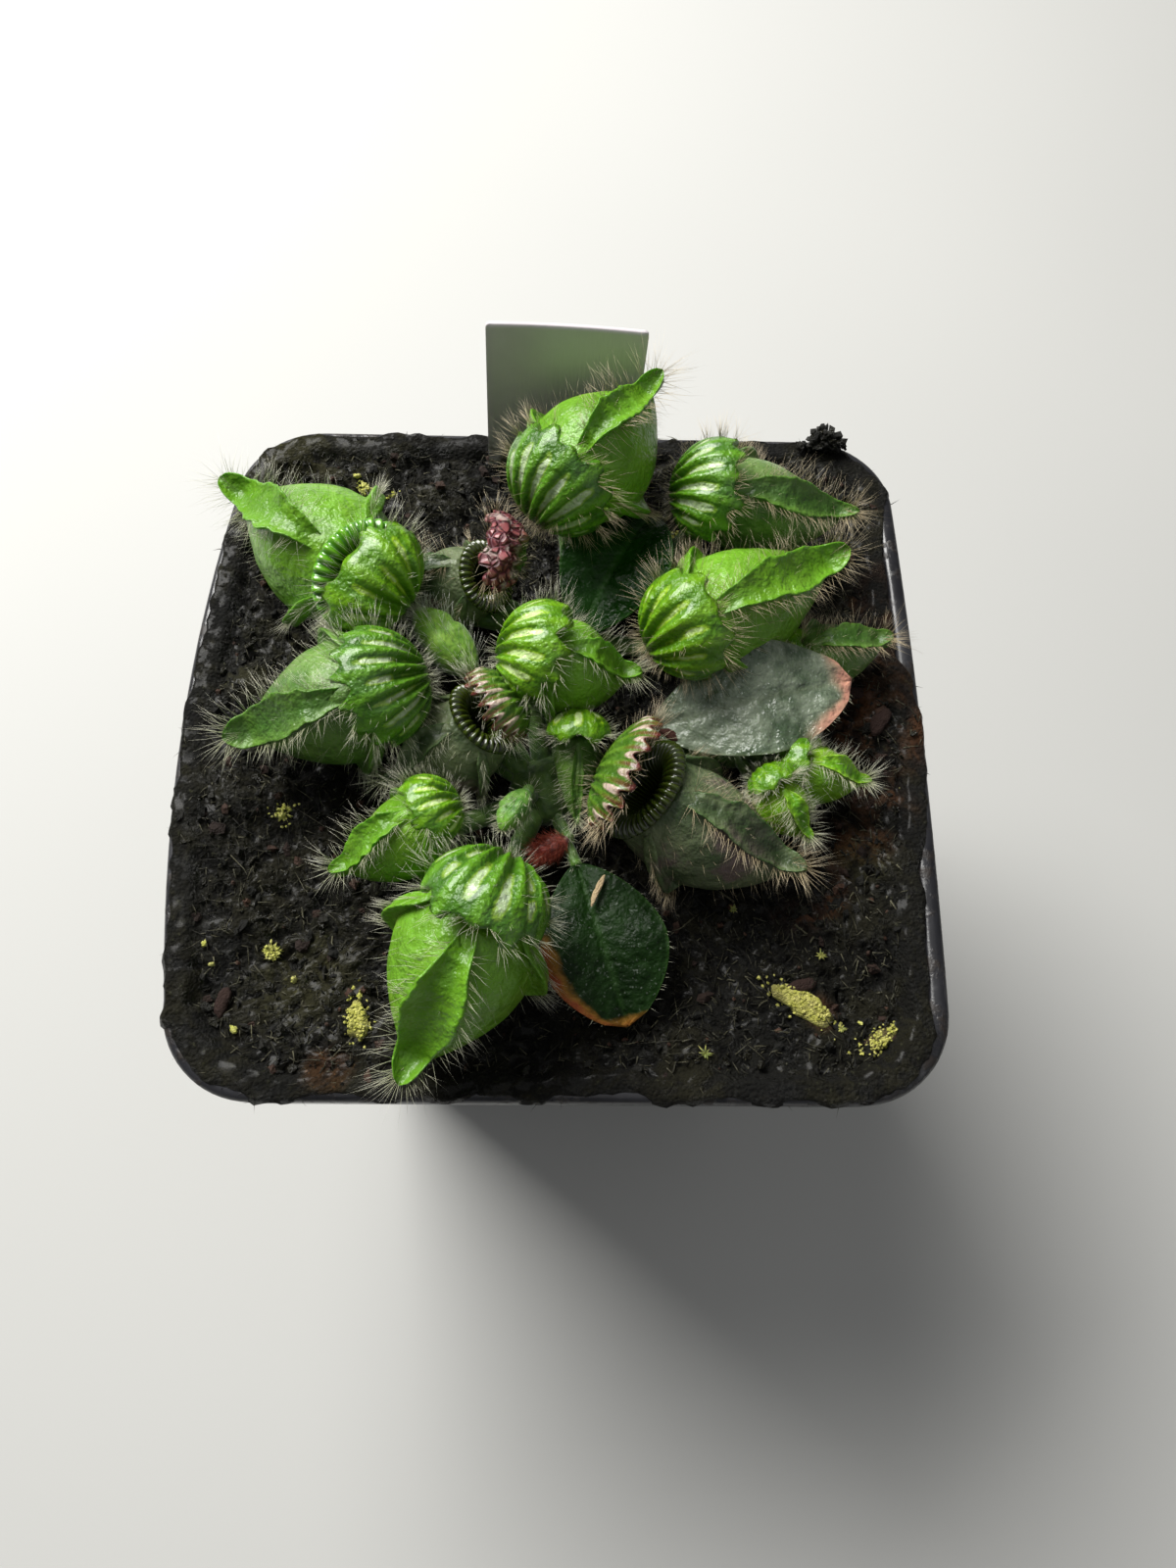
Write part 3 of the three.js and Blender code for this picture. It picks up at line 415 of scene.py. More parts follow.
def newGroup(name, inputs, outputs):
    # an empty group with number inputs and their values; an output is a number, or a vector if a normal
    tree = bpy.data.node_groups.new(name, "ShaderNodeTree")
    for label, value in inputs.items():
        tree.interface.new_socket(label, in_out="INPUT", socket_type="NodeSocketFloat").default_value = value
    for label in outputs:
        kind = "NodeSocketVector" if label == "Normal" else "NodeSocketFloat"
        tree.interface.new_socket(label, in_out="OUTPUT", socket_type=kind)
    t = Tree(tree)
    return t, t.node("NodeGroupInput").outputs, t.node("NodeGroupOutput").inputs


def patchGroup():
    # cloudy patches: noise on object coordinates, cut between two levels to a mask
    t, given, out = newGroup("patches", {"Scale": 300.0, "Low": 0.4, "High": 0.6, "Detail": 3.0}, ["Mask"])
    clouds = t.noise(given["Scale"], given["Detail"], roughness=0.6)
    t.feed(out["Mask"], t.span(clouds, given["Low"], given["High"]))
    return t.tree


def skinGroup():
    # leaf skin: small rounded cells and soft dents, as one bumped normal and a cell mask
    t, given, out = newGroup("leafSkin", {"Cell Scale": 2600.0, "Cell Depth": 0.25, "Dent Scale": 420.0,
                                          "Dent Depth": 0.35}, ["Normal", "Cells"])
    place = t.place()
    cells = t.node("ShaderNodeTexVoronoi", {"feature": "SMOOTH_F1"}, Vector=place, Scale=given["Cell Scale"],
                   Smoothness=0.6).outputs["Distance"]
    dented = t.bump(t.noise(given["Dent Scale"], 3.0, place), given["Dent Depth"], 0.0006)
    t.feed(out["Normal"], t.bump(cells, given["Cell Depth"], 0.00015, dented, True))
    t.feed(out["Cells"], cells)
    return t.tree


def grainGroup():
    # crumbly relief: fine noise less coarser cells on object coordinates, as a bumped normal and its height
    t, given, out = newGroup("crumble", {"Scale": 900.0, "Depth": 0.8}, ["Normal", "Height"])
    place = t.place()
    coarse = t.noise(given["Scale"], 6.0, place, 0.7)
    grains = t.node("ShaderNodeTexVoronoi", Vector=place, Scale=t.times(given["Scale"], 1.7), Randomness=1.0)
    height = t.maths("SUBTRACT", coarse, t.times(grains.outputs["Distance"], 0.45))
    t.feed(out["Normal"], t.bump(height, given["Depth"], 0.0007))
    t.feed(out["Height"], height)
    return t.tree


patches, leafSkin, crumble = patchGroup(), skinGroup(), grainGroup()


def newMaterial(name):
    # an empty material, and the tree that its nodes are put into
    material = bpy.data.materials.new(name)
    material.use_nodes = True
    return material, Tree(material.node_tree)


# each skin's tones; its trough tone is painted shade that darkens the keels' sunken middles
skins = {
    "fresh": {"deep": (0.090, 0.215, 0.010), "bright": (0.140, 0.330, 0.020), "edge": (0.095, 0.250, 0.012),
              "trough": (0.070, 0.185, 0.007), "stain": (0.21, 0.34, 0.03), "stained": 0.25, "gloss": 0.36},
    "dull": {"deep": (0.048, 0.120, 0.018), "bright": (0.125, 0.235, 0.042), "edge": (0.080, 0.180, 0.018),
             "trough": (0.036, 0.100, 0.012), "stain": (0.14, 0.20, 0.07), "stained": 0.4, "gloss": 0.40},
    "old": {"deep": (0.040, 0.068, 0.026), "bright": (0.140, 0.168, 0.086), "edge": (0.030, 0.075, 0.012),
            "trough": (0.012, 0.034, 0.006), "stain": (0.140, 0.100, 0.094), "stained": 0.9, "gloss": 0.44},
    "lime": {"deep": (0.110, 0.270, 0.010), "bright": (0.220, 0.420, 0.020), "edge": (0.22, 0.43, 0.025),
             "trough": (0.070, 0.230, 0.005), "stain": (0.18, 0.34, 0.02), "stained": 0.1, "gloss": 0.36},
}


def pouchMaterial(name):
    # skin in two tones and stains by patches, then by their marks painted shade in the keels' sunken middles,
    # a tint on their crests and painted shade on an open pouch's inside
    look = skins[name]
    material, t = newMaterial("pouch_" + name)
    tone, fine = t.patch(190.0, 0.32, 0.68), t.patch(1500.0, 0.35, 0.75, 2.0)
    # painted shade: each keel's sunken middle is darkened towards the skin's trough tone by its mark
    base = t.layered(t.mix(tone, look["deep"], look["bright"]), (fine, 0.25, look["bright"]),
                     (t.patch(120.0, 0.5, 0.62, 4.0), look["stained"], look["stain"]),
                     (t.mark("trough"), 0.8, look["trough"]), (t.mark("crest"), 0.7, look["edge"]),
                     # painted shade: the inside mark darkens the lip and inner wall of an open pouch to a
                     # dark olive
                     (t.mark("inside"), None, (0.05, 0.07, 0.02)))
    t.dress(base, t.span(fine, 0, 1, look["gloss"] - 0.07, look["gloss"] + 0.1),
            t.skin(2600.0, 0.5, 700.0, 1.0), specular=0.28, coat=0.10, coatRoughness=0.22)
    t.soften(0.12)
    return material


lidLooks = {
    "deep": {"ground": (0.034, 0.112, 0.006), "rib": (0.085, 0.225, 0.009), "halo": (0.210, 0.350, 0.030),
             "pane": (0.37, 0.46, 0.29), "rim": (0.06, 0.22, 0.02), "gloss": 0.26},
    "bright": {"ground": (0.055, 0.165, 0.003), "rib": (0.120, 0.275, 0.006), "halo": (0.280, 0.470, 0.014),
               "pane": (0.46, 0.60, 0.26), "rim": (0.10, 0.36, 0.01), "gloss": 0.24},
    "frilled": {"ground": (0.040, 0.105, 0.010), "rib": (0.090, 0.190, 0.014), "halo": (0.200, 0.200, 0.085),
                "pane": (0.46, 0.36, 0.30), "rim": (0.110, 0.022, 0.019), "gloss": 0.24},
}


def lidMaterial(name):
    # ribbed skin with clear panes: the pane mark with a little noise is cut to a halo and a pane
    look = lidLooks[name]
    material, t = newMaterial("lid_" + name)
    wobble = t.times(t.maths("SUBTRACT", t.noise(750.0, 4.0), 0.5), 1.1)
    field = t.maths("ADD", t.mark("pane"), wobble)
    halo, pane = t.span(field, -0.32, 0.06), t.span(field, 0.0, 0.30)
    milky = t.mix(t.patch(700.0, 0.35, 0.7), look["pane"], look["halo"])
    base = t.layered(t.mix(t.mark("ridge"), look["ground"], look["rib"]),
                     (t.patch(260.0, 0.3, 0.7), 0.45, look["rib"]), (halo, 0.75, look["halo"]),
                     (pane, None, t.mix(0.35, look["pane"], milky)), (t.mark("rimRed"), None, look["rim"]),
                     (t.mark("inside"), None, look["halo"]))
    t.dress(base, t.span(pane, 0, 1, look["gloss"] + 0.08, look["gloss"] - 0.10),
            t.skin(2200.0, 0.45, 1000.0, 0.95), specular=0.3, coat=0.4, coatRoughness=0.12)
    t.soften(0.12)
    return material


# crease is painted shade for the sunken net between folds
witheredLook = {"crease": (0.080, 0.009, 0.018), "fold": (0.270, 0.080, 0.085), "dry": (0.34, 0.25, 0.23),
                "fresh": (0.09, 0.20, 0.02)}


def witheredMaterial():
    # crinkled dark red skin with painted shade darkening the sunken creases between its paler folds, green by
    # the fresh mark near the hinge
    look = witheredLook
    material, t = newMaterial("lid_withered")
    veins = t.node("ShaderNodeTexVoronoi", {"feature": "DISTANCE_TO_EDGE"}, Vector=t.place(), Scale=900.0)
    # painted shade: the crease tone fills the sunken net that the bump below dents in
    net = t.span(veins.outputs["Distance"], 0.02, 0.22)
    base = t.layered(t.mix(net, look["crease"], look["fold"]),
                     (t.patch(420.0, 0.52, 0.64), None, look["dry"]), (t.mark("fresh"), None, look["fresh"]))
    t.dress(base, t.span(net, 0, 1, 0.5, 0.3), t.bump(net, 0.9, 0.0005))
    t.soften(0.1)
    return material


def ringMaterial(name, low, high):
    # glossy teeth: painted shade darkens the grooves between ribs, and the crests keep the lighter tone
    material, t = newMaterial(name)
    tone = t.patch(500.0, 0.3, 0.7)
    base = t.layered(t.mix(t.mark("crest"), low, high), (tone, 0.3, low))
    t.dress(base, t.span(tone, 0, 1, 0.16, 0.26), t.skin(1800.0, 0.1, 700.0, 0.2), coat=0.25,
            coatRoughness=0.16)
    t.soften(0.08)
    return material


leafLooks = {
    "dark": {"ground": (0.0030, 0.0240, 0.0007), "patch": (0.0080, 0.0480, 0.0018),
             "vein": (0.008, 0.036, 0.004), "edge": (0.065, 0.175, 0.035), "blush": (0.045, 0.040, 0.008),
             "flush": (0.060, 0.030, 0.010), "soft": 0.6, "bloom": 0.05, "gloss": 0.30, "shine": 0.13},
    "grey": {"ground": (0.050, 0.080, 0.042), "patch": (0.190, 0.230, 0.160),
             "vein": (0.065, 0.100, 0.055), "edge": (0.120, 0.150, 0.070), "blush": (0.400, 0.250, 0.170),
             "flush": (0.560, 0.270, 0.190), "soft": 0.8, "bloom": 0.5, "gloss": 0.26, "shine": 0.5},
    "front": {"ground": (0.0020, 0.0100, 0.0006), "patch": (0.0045, 0.0200, 0.0012),
              "vein": (0.009, 0.030, 0.004), "edge": (0.030, 0.080, 0.014), "blush": (0.270, 0.125, 0.020),
              "flush": (0.230, 0.050, 0.018), "soft": 0.3, "bloom": 0.15, "gloss": 0.46, "shine": 0.13},
}


def leafMaterial(name):
    # a blade in two tones, veins by a sine of the along and across marks, blushed by its own mark
    look = leafLooks[name]
    material, t = newMaterial("leaf_" + name)
    tone = t.patch(230.0, 0.35, 0.65, 5.0)
    slant = t.maths("ADD", t.times(t.mark("along"), 26.0), t.times(t.mark("across"), -9.0))
    veins = t.span(t.maths("SINE", t.maths("ADD", slant, t.times(t.noise(260.0), 2.5))), 0.62, 1.0)
    ragged = t.maths("ADD", t.mark("blush"), t.times(t.maths("SUBTRACT", tone, 0.5), 0.5))
    warm = t.mix(t.span(ragged, 0.55, 1.1), look["blush"], look["flush"])
    base = t.layered(t.mix(tone, look["ground"], look["patch"]), (veins, 0.2, look["vein"]),
                     (t.patch(2100.0, 0.62, 0.72, 2.0), look["bloom"], (0.42, 0.48, 0.42)),
                     (t.span(ragged, 0.0, 0.9), t.span(t.mark("blush"), 0.0, look["soft"]), warm),
                     (t.mark("crest"), None, look["edge"]))
    t.dress(base, t.span(tone, 0, 1, look["gloss"] - 0.06, look["gloss"] + 0.12),
            t.bump(veins, 0.12, 0.0003, t.skin(2300.0, 0.35, 850.0, 0.8), True), specular=look["shine"])
    t.soften(0.04)
    return material


def budMaterial(name, deep, bright, tip):
    # downy skin in two tones that turns to the tip's colour along its length
    material, t = newMaterial(name)
    tone = t.patch(650.0, 0.3, 0.7, 4.0)
    base = t.layered(t.mix(tone, deep, bright), (t.span(t.mark("along"), 0.55, 1.0), None, tip))
    t.dress(base, t.span(tone, 0, 1, 0.45, 0.65), t.skin(1800.0, 0.4, 900.0, 0.5), sheen=0.2)
    t.soften(0.16)
    return material


def hairMaterial(name, root, tip):
    # fine hairs: each a little lighter or darker, and paler towards its tip
    material, t = newMaterial(name)
    base = t.layered(t.mix(t.span(t.mark("along"), 0.0, 0.8), root, tip), (t.mark("chance"), 0.35, root))
    t.dress(base, t.span(t.mark("chance"), 0, 1, 0.3, 0.5), specular=0.6)
    return material


# the hollow tone is painted shade for the dips between the peat's lumps
peatLook = {"deep": (0.0026, 0.0023, 0.0007), "worn": (0.0100, 0.0090, 0.0032),
            "fleck": (0.040, 0.041, 0.020), "brown": (0.070, 0.028, 0.011),
            "moss": (0.046, 0.044, 0.013), "rust": (0.150, 0.055, 0.012),
            "hollow": (0.0022, 0.0022, 0.0020)}


def peatMaterial():
    # wet dark peat: black ground, brown and mossy zones by marks, painted shade in the hollows between lumps,
    # wet glints by patches
    look = peatLook
    material, t = newMaterial("wetPeat")
    tone, fleck = t.patch(160.0, 0.35, 0.65, 6.0), t.patch(1300.0, 0.60, 0.72, 3.0)
    wet = t.patch(520.0, 0.46, 0.58, 5.0)
    base = t.layered(t.mix(tone, look["deep"], look["worn"]), (fleck, 0.6, look["fleck"]),
                     (t.mark("brown"), tone, look["brown"]),
                     (t.mark("moss"), t.span(fleck, 0, 1, 0.3, 1.0), look["moss"]),
                     (t.mark("rust"), t.span(fleck, 0, 1, 0.2, 0.9), look["rust"]),
                     (t.span(t.mark("hollow"), 0.0, 1.0, 0.0, 0.75), None, look["hollow"]))
    t.dress(base, t.span(wet, 0, 1, 0.85, 0.4), t.group(crumble, Scale=1300.0, Depth=1.0)["Normal"],
            specular=0.2, coat=t.span(wet, 0, 1, 0.0, 0.14), coatRoughness=0.26)
    return material


def crumbMaterial(name, low, high, wetness):
    # grains and fibres, each with its own tone
    material, t = newMaterial(name)
    grain = t.group(crumble, Scale=2600.0, Depth=0.6)
    base = t.layered(t.mix(t.mark("chance"), low, high),
                     (t.span(grain["Height"], 0.2, 0.6, 0.0, 0.5), None, low))
    t.dress(base, t.span(t.mark("chance"), 0, 1, 0.8, wetness), grain["Normal"], specular=0.32)
    return material


def crustMaterial(name, pale, rich, bare):
    # a powdery yellow-green film over a darker chip, worn through by patches
    material, t = newMaterial(name)
    worn = t.patch(520.0, 0.60, 0.66, 4.0)
    base = t.layered(t.mix(t.patch(1500.0, 0.35, 0.65), rich, pale),
                     (t.maths("MAXIMUM", t.mark("bare"), t.times(worn, 0.5)), None, bare))
    t.dress(base, t.span(worn, 0, 1, 0.9, 0.6), t.group(crumble, Scale=3200.0, Depth=1.0)["Normal"])
    return material


potLook = {"black": (0.010, 0.010, 0.012), "haze": (0.024, 0.024, 0.028), "scuff": (0.060, 0.060, 0.064),
           "dirt": (0.012, 0.008, 0.006)}


def potMaterial():
    # black plastic: faint mould haze, level scuffs, and dried peat by the rim mark
    look = potLook
    material, t = newMaterial("potPlastic")
    place = t.place()
    haze = t.patch(70.0, 0.35, 0.7, 4.0)
    scuff = t.span(t.noise(1.0, 5.0, t.stretched(place, (300.0, 300.0, 2600.0))), 0.60, 0.72)
    dirt = t.times(t.mark("rim"), t.patch(330.0, 0.52, 0.64, 6.0))
    base = t.layered(t.mix(haze, look["black"], look["haze"]), (scuff, 0.35, look["scuff"]),
                     (dirt, None, look["dirt"]))
    height = t.maths("ADD", t.times(t.noise(3500.0, 2.0, place), 0.3), t.times(dirt, 1.2))
    t.dress(base, t.maths("ADD", t.span(haze, 0, 1, 0.27, 0.42), t.times(dirt, 0.3)),
            t.bump(height, 0.35, 0.0002))
    return material


labelLook = {"dull": (0.56, 0.515, 0.54), "white": (0.62, 0.575, 0.60), "scratch": (0.50, 0.50, 0.48),
             "damp": (0.10, 0.085, 0.06), "dampFrom": 0.1005, "dampTo": 0.0945}


def labelMaterial():
    # white plastic strip: a soft mottle, fine scratches along it and a foot that is damp below a height
    look = labelLook
    material, t = newMaterial("labelPlastic")
    place = t.place()
    mottle = t.patch(120.0, 0.3, 0.7, 5.0)
    streak = t.noise(1.0, 3.0, t.stretched(place, (2400.0, 2400.0, 90.0)))
    height = t.node("ShaderNodeSeparateXYZ", Vector=place).outputs["Z"]
    damp = t.span(height, look["dampFrom"], look["dampTo"])
    base = t.layered(t.mix(mottle, look["dull"], look["white"]),
                     (t.span(streak, 0.62, 0.74), 0.2, look["scratch"]),
                     (damp, t.patch(520.0, 0.4, 0.6), look["damp"]))
    t.dress(base, t.span(mottle, 0, 1, 0.38, 0.5), t.bump(streak, 0.12, 0.0002))
    t.soften(0.08, 0.0006, (1.0, 1.0, 1.0))
    return material


def floorMaterial():
    # a smooth pale tabletop with a barely seen cloudiness
    material, t = newMaterial("paleFloor")
    cloud = t.patch(3.0, 0.3, 0.7, 2.0)
    t.dress(t.mix(cloud, (0.46, 0.46, 0.445), (0.485, 0.485, 0.47)), t.span(cloud, 0, 1, 0.75, 0.85))
    return material


# the pitchers, placed as the solids have them, with the finish of each

fineFrom = 7  # pitchers wider than this have side keels and finer grids

# What most pitchers share; the table lists what each has of its own. Lengths are in millimetres and
# angles in degrees. The mouth and the tip are the ends of the pouch's axis, gape is the mouth's share
# of the width, lidOpen and lidSize are the lid's swing and its size against the mouth, panes is how
# narrow the clear panes are, and hairy is how many hairs there are against a plain pitcher.
pitcherBase = {
    "gape": 0.7, "bend": 44, "roll": 0, "head": "main", "skin": "fresh", "slot": "pouch", "lid": "bright",
    "lidOpen": 3, "lidSize": 1.3, "lidReach": 1.0, "lidShift": (0, 0, 0), "dome": 1.0, "panes": 0.42,
    "ribs": 8, "ribDepth": 1.0, "lobes": 1.0, "teeth": 0, "ring": "dark", "ringSize": 1.0,
    "keelWide": 1.0, "edgeRise": 0.3, "blunt": 0.5, "hair": "pale", "hairy": 1.1,
}
pitchers = {
    "back": {"mouth": (-0.5, 26, 109.5), "tip": (10.6, 39.2, 110.6), "width": 15.5, "gape": 0.66,
             "roll": 12, "lidSize": 1.42, "ribs": 10, "head": "rear", "lid": "deep", "panes": 0.3,
             "keelWide": 0.78, "edgeRise": 0.9, "blunt": 0.85, "hair": "tan"},
    "right": {"mouth": (14.2, 7.6, 107.5), "tip": (33, 19.2, 104), "width": 14.5, "gape": 0.64, "bend": 46,
              "roll": 16, "lidOpen": 2, "lidSize": 1.42, "head": "rear", "panes": 0.7, "keelWide": 1.02,
              "edgeRise": 0.6, "blunt": 1.0, "hair": "tan"},
    "left_back": {"mouth": (-24.6, 15.1, 106.5), "tip": (-40.8, 28.2, 103), "width": 16.5, "bend": 46,
                  "roll": -18, "lidOpen": 2, "lidReach": 0.76, "teeth": 16, "ringSize": 1.5,
                  "ring": "green", "head": "rear", "panes": 0.75, "keelWide": 0.95, "edgeRise": 0.8,
                  "blunt": 0.8, "hairy": 0.9},
    "centre": {"mouth": (-3, 4.1, 107), "tip": (7.6, 3.2, 102.8), "width": 12, "roll": 4, "lidSize": 1.46,
               "ribs": 9, "panes": 0.3, "keelWide": 0.8, "edgeRise": 0.5, "blunt": 0.8, "hairy": 0.8},
    "left": {"mouth": (-20.7, 0.1, 106.5), "tip": (-38, -3.2, 99.6), "width": 14.5, "gape": 0.68,
             "bend": 50, "roll": -24, "lidSize": 1.42, "ribs": 11, "skin": "dull", "lid": "deep",
             "edgeRise": 0.4, "blunt": 1.0},
    "front": {"mouth": (-7.7, -25.3, 107), "tip": (-16, -41.4, 98.6), "width": 16, "gape": 0.66, "bend": 50,
              "roll": -8, "lidSize": 1.34, "lid": "deep", "keelWide": 1.12, "edgeRise": 1.3, "blunt": 0.7,
              "hairy": 0.8},
    "left_front": {"mouth": (-14.5, -14.4, 104.5), "tip": (-24.8, -19.8, 98.6), "width": 9.5, "gape": 0.68,
                   "roll": 6, "lidSize": 1.32, "panes": 0.5, "keelWide": 1.1, "edgeRise": 0.5, "blunt": 0.6,
                   "hairy": 1.0},
    "right_back": {"mouth": (18.1, 28.2, 105), "tip": (36.2, 28.2, 100.6), "width": 12.5, "bend": 48,
                   "roll": 18, "lidSize": 1.5, "ribs": 10, "head": "rear", "skin": "dull",
                   "slot": "pouch_older", "lid": "deep", "panes": 0.28, "edgeRise": 0.5, "hair": "tan",
                   "hairy": 1.35},
    "centre_front": {"mouth": (1.9, -4, 103), "tip": (1.8, -13.4, 98.6), "width": 5, "gape": 0.8,
                     "bend": 40, "lidSize": 1.9, "ribs": 5, "ribDepth": 0.4, "lobes": 0.4, "skin": "dull",
                     "panes": 0.2, "keelWide": 0.8, "edgeRise": 0.2, "hairy": 1.2},
    "open_right": {"mouth": (10.3, -11.5, 102.9), "tip": (26.6, -19, 98.2), "width": 13.6, "gape": 0.82,
                   "bend": 46, "lidOpen": 20, "dome": 0.62, "ribs": 15, "ribDepth": 0.5, "teeth": 20,
                   "ringSize": 1.3, "skin": "old", "slot": "pouch_older", "lid": "frilled", "panes": 0.0,
                   "keelWide": 0.95, "blunt": 0.7, "hair": "tan", "hairy": 1.2},
    "open_left": {"mouth": (-9.8, -2.9, 103), "tip": (-19.8, -8.4, 97.8), "width": 10.8, "gape": 0.8,
                  "lidOpen": 14, "lidSize": 1.15, "ribs": 15, "ribDepth": 0.5, "teeth": 16, "skin": "old",
                  "slot": "pouch_older", "lid": "frilled", "panes": 0.05, "keelWide": 0.9},
    "withered": {"mouth": (-10.5, 17.3, 102), "tip": (-21, 18.4, 97.8), "width": 10.2, "gape": 0.8,
                 "bend": 40, "lidOpen": 14, "lidSize": 1.35, "dome": 0.9, "lidReach": 0.72,
                 "lidShift": (-0.6, 3.0, 0.4), "teeth": 16, "head": "rear", "skin": "old",
                 "slot": "pouch_older", "lid": "withered", "panes": 0.9, "keelWide": 0.8, "hair": "tan",
                 "hairy": 0.9},
    "small_right": {"mouth": (28, -6.4, 100), "tip": (36, -7.9, 97.8), "width": 7.2, "bend": 36, "ribs": 7,
                    "ribDepth": 0.4, "lobes": 0.4, "head": "east", "skin": "lime", "panes": 1.1,
                    "blunt": 0.6, "hairy": 1.8},
    "small_front": {"mouth": (24.7, -9.5, 101), "tip": (28.6, -15, 98.8), "width": 6.6, "gape": 0.72,
                    "bend": 34, "ribs": 7, "ribDepth": 0.4, "lobes": 0.4, "head": "east", "skin": "lime",
                    "panes": 1.1, "blunt": 0.6, "hairy": 1.8},
    "right_low": {"mouth": (29.3, 8.6, 99.5), "tip": (40.4, 10.8, 98.8), "width": 8, "bend": 36,
                  "lidSize": 1.2, "ribs": 5, "head": "east", "skin": "dull", "panes": 0.8, "keelWide": 1.2,
                  "blunt": 0.9, "hair": "tan", "hairy": 1.4},
}
pitchers = {name: {**pitcherBase, **own} for name, own in pitchers.items()}

# grids are rows and columns; the lip's rings are their inset, their rise and how far inside they count, which
# is their share of the painted shade inside the mouth
pouch = {"bellyAt": 0.36, "front": 0.44, "back": 0.5, "wall": 0.9, "dents": 0.10, "fine": (54, 72),
         "small": (30, 48), "lip": ((-0.15, 0.22, 0.2), (-0.45, 0.32, 0.5), (-0.75, 0.22, 0.8)),
         "innerRows": 16, "innerEnd": 0.86}


def turned(vectors, axis, degrees):
    # turns vectors about an axis: v·cos + (axis × v)·sin + axis·(axis·v)·(1 − cos)
    c, s = np.cos(np.radians(degrees)), np.sin(np.radians(degrees))
    along = (vectors * axis).sum(-1, keepdims=True)
    return vectors * c + np.cross(axis, vectors) * s + axis * along * (1 - c)


def axisAt(p, v):
    # the arc of a pouch's axis at shares v of its length, with the ways down it, to its front and side
    v = np.asarray(v, float)
    mouth = np.array(p["mouth"], float)
    chord = np.array(p["tip"], float) - mouth
    level = chord * (1, 1, 0)
    out = unit(level)
    bend = np.radians(p["bend"])
    start = np.arctan2(np.linalg.norm(level), -chord[2]) - bend / 2
    length = np.linalg.norm(chord) * (bend / 2) / np.sin(bend / 2)
    angle = start + bend * v
    run = length / bend * (np.cos(start) - np.cos(angle))
    drop = length / bend * (np.sin(angle) - np.sin(start))

    def mixed(a, b):
        return turned(a[..., None] * out + b[..., None] * up, unit(chord), p["roll"])
    side = turned(np.cross(out, up)[None], unit(chord), p["roll"])[0]
    return {"centre": mouth + mixed(run, -drop), "down": mixed(np.sin(angle), -np.cos(angle)),
            "front": mixed(np.cos(angle), np.sin(angle)), "side": np.broadcast_to(side, (*v.shape, 3)),
            "length": length}


def pouchSwell(p, v):
    # a sine from the mouth to the belly, then a cosine to a blunt point
    v = np.clip(v, 0, 1)
    upper = p["gape"] + (1 - p["gape"]) * np.sin(np.pi / 2 * v / pouch["bellyAt"])
    lower = np.cos(np.pi / 2 * np.clip((v - pouch["bellyAt"]) / (1 - pouch["bellyAt"]), 0, 1)) ** 0.85
    return np.where(v < pouch["bellyAt"], upper, lower)


def pouchSkin(p, v, angle, extra=0.0):
    # an oval section drawn out a little at three keels, at share v and an angle from the front
    v, angle = np.broadcast_arrays(np.asarray(v, float), np.asarray(angle, float))
    at = axisAt(p, v)
    swell = pouchSwell(p, v) * (1 + 0.05 * np.cos(3 * angle))
    across = p["width"] / 2 * swell + extra
    depth = p["width"] * np.where(np.cos(angle) > 0, pouch["front"], pouch["back"]) * swell + extra
    return at["centre"] + at["side"] * (across * np.sin(angle))[..., None] \
        + at["front"] * (depth * np.cos(angle))[..., None]


def pouchBody(p, seed):
    # the skin's grid from the tip to the mouth; an open pouch goes on over the lip and down its inside
    rows, columns = pouch["fine"] if p["width"] > fineFrom else pouch["small"]
    angle = np.linspace(-np.pi, np.pi, columns, endpoint=False)[None, :]
    v = 0.999 * np.cos(np.linspace(0, 1, rows) * np.pi / 2)[:, None]
    underKeel = 0.45 * np.exp(-(angle / 0.16) ** 2)
    finAngle = np.radians(fin["top"] + fin["turn"] * np.clip(v / fin["end"], 0, 1))
    underFins = 0.35 * np.exp(-((np.abs(angle) - finAngle) / 0.11) ** 2) * blendStep(0.46, 0.36, v)
    dents = pouch["dents"] * rough(pouchSkin(p, v, angle), 3.2, 3, seed)
    outer = pouchSkin(p, v, angle, (underKeel + underFins + dents) * blendStep(0, 0.06, 1 - v))
    if not p["teeth"]:
        return closedShell(outer)
    inset, rise, part = np.array(pouch["lip"]).T[..., None]
    lip = pouchSkin(p, 0 * inset, angle, inset) - axisAt(p, 0.0)["down"] * rise[..., None]
    depth = np.linspace(0.02, pouch["innerEnd"], pouch["innerRows"])[:, None]
    inner = pouchSkin(p, depth, angle, -pouch["wall"])
    # the inside share, rising into the mouth, sets the painted shade on the lip and inner wall
    inside = np.concatenate([np.zeros((rows, 1)), part, np.ones(depth.shape)])
    return closedShell(np.concatenate([outer, lip, inner]), inside=inside)


def roundOff(polygon):
    # cuts each corner of a closed section at a quarter and three quarters of its sides
    after = np.roll(polygon, -1, axis=1)
    cut = np.stack([0.75 * polygon + 0.25 * after, 0.25 * polygon + 0.75 * after], 2)
    return cut.reshape(polygon.shape[0], -1, polygon.shape[2])


# the front keel: where along the pouch it leaves the skin and ends, its half width as a share, how wavy
# its flanges are, and its cuts along its length on a wide and on a small pitcher
keel = {"leaves": 0.94, "end": 1.085, "share": 0.17, "wave": 0.14, "fine": 56, "small": 30}


